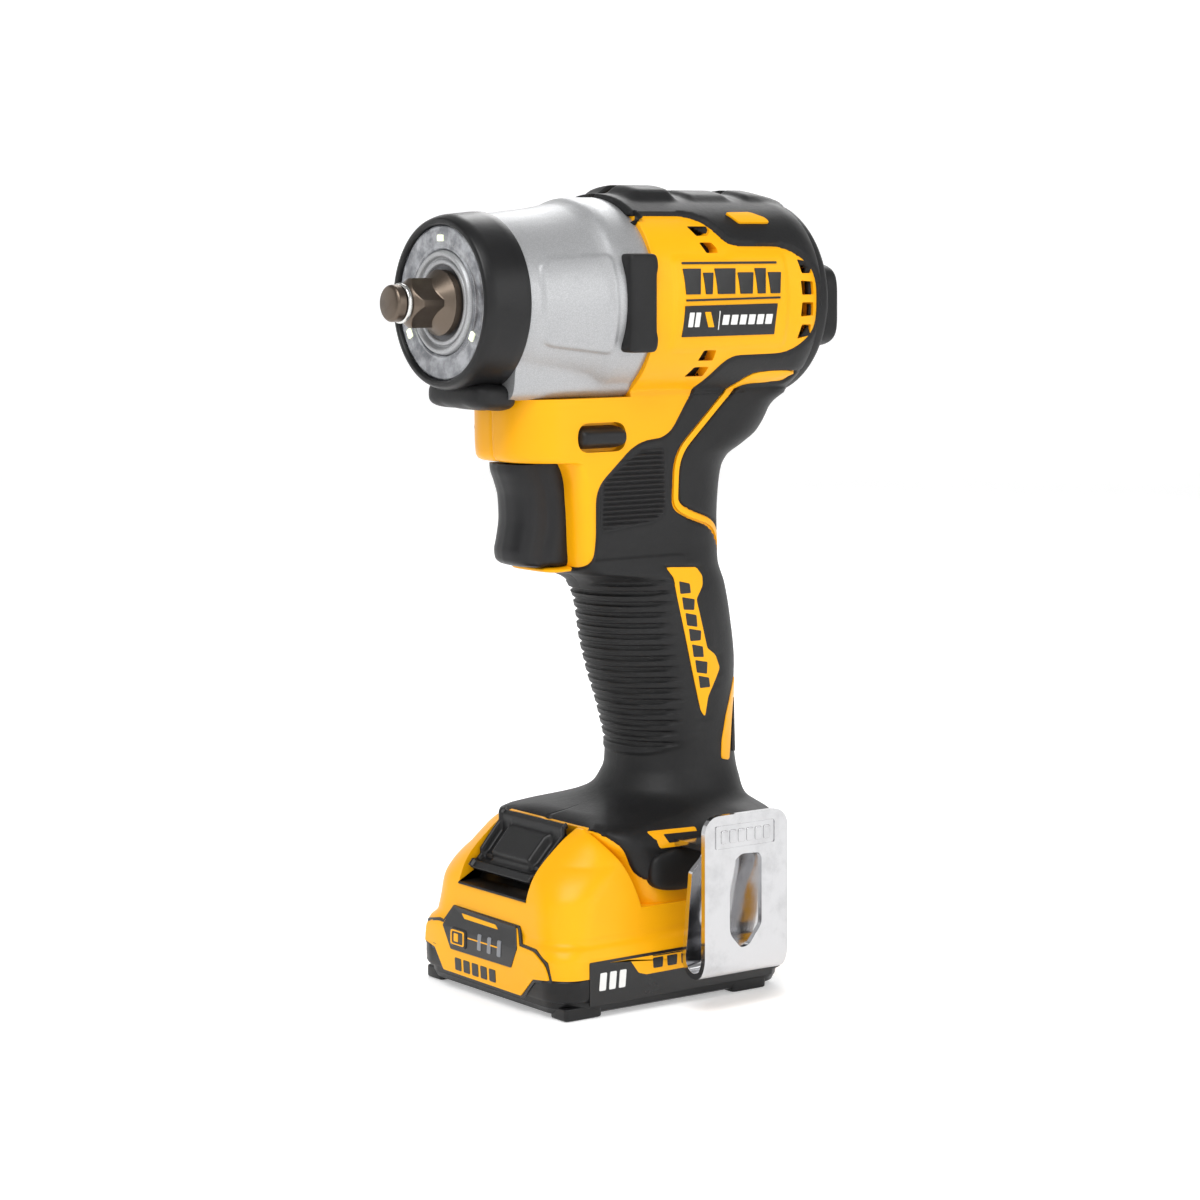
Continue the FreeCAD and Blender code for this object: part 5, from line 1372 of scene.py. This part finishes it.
@dataclass(frozen=True)
class Battery:
    """Battery pack: tray, domed cover, latch, gauge panel, labels."""

    half_x: float = 36.0
    half_y: float = 31.0
    split: float = 9.7
    well_half: float = 14.35
    foot_floor: float = 24.3
    front_knots: tuple[Point, ...] = (
        (9.7, -36.0), (14.2, -36.0), (16.4, -35.6), (18.6, -34.7), (21.5, -34.4), (26.0, -34.0), (30.0, -32.7),
        (34.0, -30.2), (38.0, -26.5), (41.0, -22.4), (42.2, -19.6))
    half_knots: tuple[Point, ...] = (
        (9.7, 31.0), (13.6, 31.0), (15.8, 30.3), (18.0, 29.3), (21.0, 29.0), (27.0, 28.7), (31.0, 27.8), (35.0, 26.0),
        (38.0, 23.5), (40.5, 20.2), (42.2, 16.5))
    corner_knots: tuple[Point, ...] = (
        (9.7, 7.5), (15.0, 7.8), (18.5, 9.6), (27.0, 11.5), (33.0, 14.5), (38.0, 17.0), (42.2, 15.5))
    rear_knots: tuple[Point, ...] = ((24.3, -10.0), (34.6, -13.8), (40.0, -17.2), (42.2, -18.3))

    def sizes(self, z: Array) -> tuple[Array, ...]:
        """Sizes of the cover's plan section at each height."""
        corner = curve(self.corner_knots, z)
        above = z > self.foot_floor
        rear = np.where(above, curve(self.rear_knots, z), self.half_x - 1.2 * smooth(14.0, 19.0, z))
        front, half = curve(self.front_knots, z), curve(self.half_knots, z)
        back = np.where(above, 0.3, 6.0)
        spare = np.minimum(1.0, (rear - front - 0.3) / (corner + back))
        return front, rear, half, corner * spare, np.minimum(corner, half - 0.3), back * spare, back

    def cover(self) -> bpy.types.Object:
        """Domed yellow cover with a shoulder round its foot and a well cut for the latch."""
        z = np.unique(np.concatenate([np.arange(self.split, 42.2, 0.45), [24.29, 24.31, 42.2]]))
        points = stacked(z, self.sizes(z), 84, 20, 22)
        height = points[..., 2]
        flute = 0.25 * smooth(19.2, 17.6, height) * smooth(16.2, 17.4, height)
        dome = mesh_of("battery_dome", lifted(points, -flute), sharp=40)
        well = rounded([(-46.0, 25.9), (-27.9, 25.9, 0.5), (-15.3, 39.6), (-15.3, 46.0), (-46.0, 46.0)], 0.5, 4)
        return carved(dome, prism("latch_well", well, -self.well_half, self.well_half))

    def tray(self) -> bpy.types.Object:
        """Black tray with a stepped foot all round and four pads that it stands on."""
        z = np.array([0.9, 1.3, 2.4, 2.6, 4.2, 4.5, 5.2, 7.5, 9.3, 9.55, 9.7])
        half = np.array([28.9, 29.5, 29.8, 29.9, 30.1, 30.7, 31.0, 31.05, 31.05, 30.9, 30.4])
        long = half + np.array([4.2, 4.4, 4.5, 4.6, 4.7, 5.0, 5.0, 5.0, 5.0, 5.0, 5.0])
        corner = np.full(len(z), 7.4)
        body = mesh_of("tray_body", stacked(z, (-long, long, half, corner, corner, corner, corner), 60, 16))
        pads = [pillow(f"pad_{sx}_{sy}", (x, sy * 26.6, 1.6), (5.4, 3.3, 1.6), (10, 10), 20)
                for sy in (-1, 1) for sx, x in ((0, -28.0), (1, 22.5))]
        ribs = [pillow(f"rib_{sy}", (-3.0, sy * 30.6, 4.2), (24.0, 0.6, 0.55), (10, 6), 24) for sy in (-1, 1)]
        return merged("battery_base", [body, *pads, *ribs])

    def latch(self) -> bpy.types.Object:
        """Latch: height over its slope is a ridge, a middle ramp between two finger hollows, and a lip."""
        s = np.linspace(0, 1, 80)[:, None]
        y = np.linspace(-13.7, 13.7, 110)[None]
        side = np.abs(y)
        ridge = 1.5 * smooth(0.20, 0.08, s)
        hollow = smooth(7.6, 9.4, side) * smooth(13.4, 12.2, side) * smooth(0.16, 0.30, s) * smooth(0.86, 0.62, s)
        ramp = 0.9 * smooth(9.5, 8.0, side) * smooth(0.1, 0.3, s) * smooth(0.80, 0.70, s)
        edge = 0.7 * smooth(12.4, 13.2, side)
        lip = 0.35 * smooth(0.72, 0.90, s) - 0.9 * smooth(0.70, 0.76, s) * smooth(0.90, 0.84, s)
        height = 0.6 + ridge + ramp + edge + lip - 1.2 * hollow
        x = -19.6 - 11.5 * s - 0.69 * height
        z = 41.6 - 12.1 * s ** 1.1 + 0.72 * height
        points = np.stack([x, y * (1 - 0.06 * s), z], -1)
        sheet = mesh_of("latch_button", points, closed=False, sharp=60)
        if sum(p.normal.x for p in sheet.data.polygons) > 0:
            sheet.data.flip_normals()
        return thickened(sheet, 1.2)

    def bed(self) -> bpy.types.Object:
        """Black floor of the latch's well: a thin plate along its slope and up its front wall."""
        section = rounded([(-34.4, 26.0), (-27.9, 26.0, 0.4), (-15.9, 39.1), (-16.3, 39.5), (-28.1, 26.7, 0.4),
                           (-34.2, 26.5)], 0.15, 3)
        return prism("latch_bed", section, -14.3, 14.3, 30)

    def on_front(self, y: Array, z: Array, lift: float) -> Array:
        """A point of the front face, pushed forwards and round its corners."""
        front, _, half, fl, fw, _, _ = self.sizes(np.maximum(np.asarray(z, float), self.split))
        past = np.clip((np.abs(y) - half + fw) / fw, 0, 0.999)
        return np.stack([front - lift + fl * (1 - np.sqrt(1 - past ** 2)), np.asarray(y, float), z], -1)

    def on_side(self, side: int) -> Callable[[Array, Array, float], Array]:
        """Maps (x, z) and a lift to a point of the pack's side."""
        def place(x: Array, z: Array, lift: float) -> Array:
            """A point of the side."""
            half = np.where(z > self.split, curve(self.half_knots, z), self.half_y)
            return np.stack([x, side * (half + lift), z], -1)
        return place

    def panel(self, bench: Bench) -> None:
        """Front badge with its gauge: layered plates and bars."""
        field = [(27.0, 10.1), (25.6, 15.0, 1.5), (20.0, 16.1, 1), (17.9, 15.9), (15.0, 19.9), (-12.2, 19.6),
                 (-14.6, 15.9), (-20.6, 15.6, 1), (-25.2, 13.2, 2), (-26.4, 9.7), (-20.7, 9.1), (-15.8, 4.3),
                 (17.4, 4.5), (21.3, 9.4)]
        middle = np.array([0.3, 11.5])
        rim = [(a + np.sign(a - middle[0]) * 0.6, b + np.sign(b - middle[1]) * 0.6) for a, b, *_ in field]
        window = [(14.6, 20.4), (-11.8, 19.9), (-14.3, 15.2), (-12.0, 10.3), (14.0, 10.2), (17.8, 15.6)]
        plates = {"badge_rim": (Finish.LABEL_BLACK, [rim], 0.35),
                  "badge_field": (Finish.BATTERY_YELLOW, [field], 0.6),
                  "gauge_window": (Finish.LABEL_BLACK, [window], 0.8)}
        lower = [[(12.3 - 3.7 * k, 8.4), (9.6 - 3.7 * k, 8.4), (9.3 - 3.7 * k, 5.4), (12.0 - 3.7 * k, 5.4)]
                 for k in range(5)]
        plates["badge_blocks"] = (Finish.LABEL_BLACK, lower, 0.72)
        bars = [[(y + 0.75, 15.9), (y - 0.75, 15.9), (y - 0.75, 12.0), (y + 0.75, 12.0)] for y in (1.4, -2.8, -7.0)]
        plates["gauge_bars"] = (Finish.LABEL_GREY, bars, 0.98)
        lines = [[(6.4, 14.3), (-7.0, 14.3), (-7.0, 14.0), (6.4, 14.0)],
                 [(11.0, 19.3), (-3.6, 19.0), (-5.0, 18.1), (9.6, 18.2)]]
        plates["gauge_lines"] = (Finish.BATTERY_YELLOW, lines, 0.92)
        replaced = {"badge_field": ("battery_labels",), "gauge_bars": ("gauge_lights",)}
        for name, (finish, outlines, lift) in plates.items():
            made = [slab(f"{name}_{k}", rounded(o, 0.35, 4), self.on_front, lift - 0.5, lift, 0.05)
                    for k, o in enumerate(outlines)]
            bench.put(merged(name, made), finish, "battery", "label_black", *replaced.get(name, ()))
        face = rounded([(14.0, 15.8), (7.0, 15.8), (7.0, 11.2), (14.0, 11.2)], 1.0)
        button = slab("gauge_cap", face, self.on_front, 0.3, 1.1, 0.15)
        bench.put(button, Finish.LABEL_BLACK, "gauge_button", "black_nylon", "gauge_button")
        outer, inner = rounded([(13.4, 15.3), (7.6, 15.3), (7.6, 11.7), (13.4, 11.7)], 0.7), 0.82
        centre = outer.mean(0)
        rings = [self.on_front(*(centre + (outer - centre) * k).T, lift) for k, lift in
                 ((1.0, 1.0), (1.0, 1.2), (inner, 1.2), (inner, 1.0))]
        icon = mesh_of("icon_frame", np.stack(rings), caps=False, sharp=60)
        middle_bar = rounded([(12.0, 14.5), (10.2, 14.5), (10.2, 12.5), (12.0, 12.5)], 0.2, 3)
        core = slab("icon_core", middle_bar, self.on_front, 1.0, 1.2, 0.03)
        bench.put(merged("gauge_icon", [icon, core]), Finish.BATTERY_YELLOW, "gauge_button", "yellow_shell")

    def side_labels(self, bench: Bench) -> None:
        """Black side label with a yellow field, plain blocks and slanted dashes."""
        black = [[(-27.3, 13.6), (28.6, 13.9, 0.3), (28.6, 3.4, 0.3), (-27.3, 3.2)]]
        yellow = [[(-21.5, 13.0), (-15.5, 12.9), (-12.8, 9.4), (-10.5, 8.7), (27.5, 9.1), (27.5, 13.1)]]
        blocks = [[(-8.6 + 4.3 * k, 12.4), (-5.4 + 4.3 * k, 12.4), (-5.6 + 4.3 * k, 9.9), (-8.4 + 4.3 * k, 9.9)]
                  for k in range(8)]
        dashes = [[(-24.2 + 2.9 * k, 10.8), (-22.3 + 2.9 * k, 10.8), (-22.7 + 2.9 * k, 6.6), (-24.6 + 2.9 * k, 6.6)]
                  for k in range(3)]
        rule = [[(-8.6, 13.0), (28.0, 13.0), (28.0, 12.75), (-8.6, 12.75)]]
        for name, finish, outlines, lift in (
                ("side_label", Finish.LABEL_BLACK, black, 0.2), ("side_field", Finish.BATTERY_YELLOW, yellow, 0.3),
                ("side_blocks", Finish.LABEL_BLACK, blocks + rule, 0.36),
                ("side_dashes", Finish.LABEL_WHITE, dashes, 0.36)):
            made = [slab(f"{name}_{side}_{k}", rounded(o, 0.3, 3), self.on_side(side), lift - 0.35, lift, 0.03)
                    for side in (-1, 1) for k, o in enumerate(outlines)]
            bench.put(merged(name, made), finish, "battery", "label_black")

    def build(self, bench: Bench) -> None:
        """Makes and places the pack."""
        bench.put(self.cover(), Finish.BATTERY_YELLOW, "battery", "yellow_shell", "battery_cover")
        bench.put(self.tray(), Finish.BLACK_NYLON, "battery", "black_nylon", "battery_tray")
        bench.put(self.bed(), Finish.BLACK_NYLON, "battery", "black_nylon")
        bench.put(self.latch(), Finish.BLACK_NYLON, "battery_latch", "black_nylon", "battery_latch")
        self.panel(bench)
        self.side_labels(bench)


# ---------------------------------------------------------------- belt hook

@dataclass(frozen=True)
class BeltHook:
    """Bent chromed hook on its rubber-faced boss."""

    front: float = -4.0
    rear: float = 21.5
    sheet: float = 1.4

    def hook(self) -> bpy.types.Object:
        """Sheet: a bent path across (y, z) carried along x, with rounded ends and a window cut through."""
        bends = rounded([(-45.0, 48.6), (-45.0, 12.4, 3), (-43.4, 9.2, 2.2), (-39.6, 9.1, 2.2), (-37.3, 12.2, 3),
                         (-38.4, 19.0, 8), (-38.9, 25.0, 8), (-40.0, 33.0, 6), (-40.0, 39.0, 1.6), (-26.8, 39.0)],
                        1.0, 9)
        bends = bends[8:-8]
        steps = np.concatenate([[0], np.cumsum(np.linalg.norm(np.diff(bends, axis=0), axis=1))])
        total = steps[-1]
        place = np.unique(np.concatenate([np.linspace(0, 4.5, 24), np.linspace(4.5, total, 150)]))
        y, z = (np.interp(place, steps, bends[:, k])[:, None] for k in (0, 1))
        top = 4.2
        pull = top - np.sqrt(np.clip(top ** 2 - np.clip(top - place, 0, top) ** 2, 0, None))
        tab = smooth(total - 17.5, total - 12.5, place)
        left = (self.front + pull + 4.0 * tab)[:, None]
        right = (self.rear - pull - 4.4 * tab)[:, None]
        x = left + (right - left) * np.linspace(0, 1, 40)[None]
        points = np.stack([x, y + 0 * x, z + 0 * x], -1)
        sheet = mesh_of("hook_sheet", points, closed=False, sharp=60)
        if sheet.data.polygons[2000].normal.y > 0:
            sheet.data.flip_normals()
        solid = sheet.modifiers.new("wall", "SOLIDIFY")
        solid.thickness = self.sheet * MM
        solid.offset = 0
        baked(sheet)
        window = rounded([(3.6, 34.6, 1.5), (6.6, 38.0, 2), (12.6, 37.6), (13.4, 36.4), (13.4, 20.4), (9.6, 15.8),
                          (7.0, 15.3), (3.6, 19.0, 1.5)], 1.0)
        carved(sheet, prism("hook_window", window, -48.0, -42.0))
        frame_line = rounded([(-0.8, 45.2), (17.6, 45.2), (17.6, 39.6), (-0.8, 39.6)], 0.6)
        middle = frame_line.mean(0)
        rings = [np.stack([*(middle + (frame_line - middle) * k).T, np.full(len(frame_line), y)], -1)[:, [0, 2, 1]]
                 for k, y in ((1.0, -45.6), (1.0, -45.95), (0.965, -45.95), (0.965, -45.6))]
        emboss = mesh_of("hook_emboss", np.stack(rings), caps=False)
        blocks = [pillow(f"emboss_{k}", (1.9 + 2.6 * k, -45.65, 42.4), (1.0, 0.3, 1.6), (6, 6), 14) for k in range(6)]
        hook = merged("chromed_hook", [sheet, emboss, *blocks])
        bevel = hook.modifiers.new("edge", "BEVEL")
        bevel.width = 0.28 * MM
        bevel.segments = 2
        bevel.limit_method = "ANGLE"
        bevel.angle_limit = math.radians(50)
        return baked(hook)

    def build(self, bench: Bench) -> None:
        """Makes and places the hook and its boss."""
        bench.put(self.hook(), Finish.CHROME, "housing", "chrome_steel", "belt_hook")
        boss = pillow("hook_boss", (7.2, -27.2, 32.2), (14.6, 3.2, 5.2), (5, 3.4), 48)
        bench.put(boss, Finish.SOFT_GRIP, "housing", "soft_grip", "hook_pad")
        bench.dress(Finish.SCREW_BLACK, "belt_hook_screw")


# ---------------------------------------------------------------- what the casings hold

@dataclass(frozen=True)
class Inside:
    """Pieces within the casings, which keep the shapes they were designed with."""

    def build(self, bench: Bench) -> None:
        """Dresses them by what they are made of."""
        bench.dress(Finish.HARD_STEEL, "hammer", "camshaft", "planet_gear_1", "planet_gear_2", "planet_gear_3",
                    "pinion", "ring_gear")
        bench.dress(Finish.BRIGHT_STEEL, "cam_balls", "planet_pins", "thrust_washer", "carrier_bearing",
                    "front_bearing", "rear_bearing", "motor_shaft")
        bench.dress(Finish.SPRING_STEEL, "hammer_spring", "trigger_spring", "latch_spring")
        bench.dress(Finish.BEARING_BRONZE, "battery_contacts")
        bench.dress(Finish.LAMINATIONS, "rotor_core", "stator_core")
        bench.dress(Finish.WINDINGS, "stator_windings")
        bench.dress(Finish.BOARD, "lamp_board", "sensor_board", "control_board", "battery_board")
        bench.dress(Finish.GREY_NYLON, "gear_case_plate", "cooling_fan", "switch_body", "terminal_block",
                    "cell_holders")
        bench.dress(Finish.WIRE_RED, "power_wires")
        bench.dress(Finish.CELL_WRAP, "battery_cells")
        bench.dress(Finish.SCREW_BLACK, "housing_screws", "anvil_bush")


# ---------------------------------------------------------------- studio

@dataclass(frozen=True)
class Studio:
    """Pale floor, soft lights and the camera."""

    eye: Point = (-476.7, -642.6, 187.4)
    yaw: float = math.degrees(math.atan2(0.5948, 0.8039))
    lens: float = 96.0
    rise: float = -0.308

    def floor(self) -> None:
        """A pale round floor whose rim sweeps up into a low wall: rings of growing radius, then of growing height."""
        bend = np.linspace(0, math.pi / 2, 16)
        radius = np.concatenate([np.geomspace(1.0, 2200.0, 24), 2200 + 500 * np.sin(bend[1:]), [2702.0]])[:, None]
        height = np.concatenate([np.zeros(24), 500 * (1 - np.cos(bend[1:])), [1500.0]])[:, None] - 0.05
        angle = np.linspace(0, 2 * math.pi, 128, endpoint=False)[None]
        rim = np.stack([radius * np.cos(angle), radius * np.sin(angle), height + 0 * angle], -1)
        piece = mesh_of("studio_floor", rim, caps=False)
        if piece.data.polygons[0].normal.z < 0:
            piece.data.flip_normals()
        s = Shader("floor_paper")
        grain = s.noise(6.0, 3.0)
        colour = s.mix(grain, (0.90, 0.90, 0.90), (0.94, 0.94, 0.94))
        piece.data.materials.append(s.surface(Base_Color=colour, Roughness=0.75 + 0.1 * (grain - 0.5),
                                              Emission_Color=(1.0, 1.0, 1.0, 1.0), Emission_Strength=0.36))

    def light(self, name: str, place: Point, size: float, power: float, aim: Point = (0, 0, 100)) -> None:
        """A square soft light that points at the tool."""
        data = bpy.data.lights.new(name, "AREA")
        data.size = size * MM
        data.energy = power
        lamp = bpy.data.objects.new(name, data)
        bpy.context.scene.collection.objects.link(lamp)
        lamp.location = Vector(place) * MM
        lamp.rotation_euler = (Vector(aim) - Vector(place)).to_track_quat("-Z", "Y").to_euler()

    def card(self, name: str, place: Point, width: float, tall: float, shade: float) -> None:
        """A matt card that stands on the floor and faces the tool, for the shiny pieces to mirror."""
        across = np.array([-place[1], place[0], 0.0]) / math.hypot(*place[:2])

        def turn(x: Array, y: Array, z: Array) -> tuple[Array, Array, Array]:
            """Turns the card about its upright middle line."""
            return place[0] + across[0] * x + across[1] * y, place[1] + across[1] * x - across[0] * y, z

        piece = pillow(name, (0, 0, tall / 2 + 1), (width / 2, 4.0, tall / 2), (20, 20), 16, turn)
        s = Shader(name + "_paper")
        grain = s.noise(6.0, 3.0)
        colour = s.mix(grain, (shade * 0.9,) * 3, (shade,) * 3)
        piece.data.materials.append(s.surface(Base_Color=colour, Roughness=0.8 + 0.1 * (grain - 0.5)))

    def build(self) -> None:
        """Floor, cards, sky, lights and camera."""
        self.floor()
        self.card("grey_card", (1000, -1350), 700, 620, 0.5)
        self.card("left_flag", (-1500, 250), 700, 900, 0.02)
        self.card("right_flag", (1300, -250), 500, 900, 0.02)
        world = bpy.data.worlds.new("pale_sky")
        world.use_nodes = True
        sky = world.node_tree.nodes["Background"]
        sky.inputs["Color"].default_value = (1, 1, 1, 1)
        sky.inputs["Strength"].default_value = 0.36
        bpy.context.scene.world = world
        self.light("key", (-600, -500, 1100), 700, 10)
        self.light("fill", (500, -1100, 500), 900, 3)
        self.light("rim", (700, 600, 800), 600, 5)
        data = bpy.data.cameras.new("view")
        data.lens = self.lens
        data.sensor_width = 36.0
        data.shift_y = self.rise
        camera = bpy.data.objects.new("view", data)
        bpy.context.scene.collection.objects.link(camera)
        camera.location = Vector(self.eye) * MM
        camera.rotation_euler = (math.pi / 2, 0, -math.radians(self.yaw))
        bpy.context.scene.camera = camera
        bpy.context.scene.view_settings.view_transform = "Standard"


ASSEMBLIES = (ToolBody(), Nose(), Drive(), Controls(), Battery(), BeltHook(), Inside())


def main() -> None:
    """Builds each sub-assembly in order and reports the pieces."""
    logging.basicConfig(level=logging.INFO, format="%(name)s: %(message)s")
    bench = Bench()
    Studio().build()
    for assembly in ASSEMBLIES:
        assembly.build(bench)
    log.info("%d new pieces", bench.count)


if __name__ == "__main__":
    main()
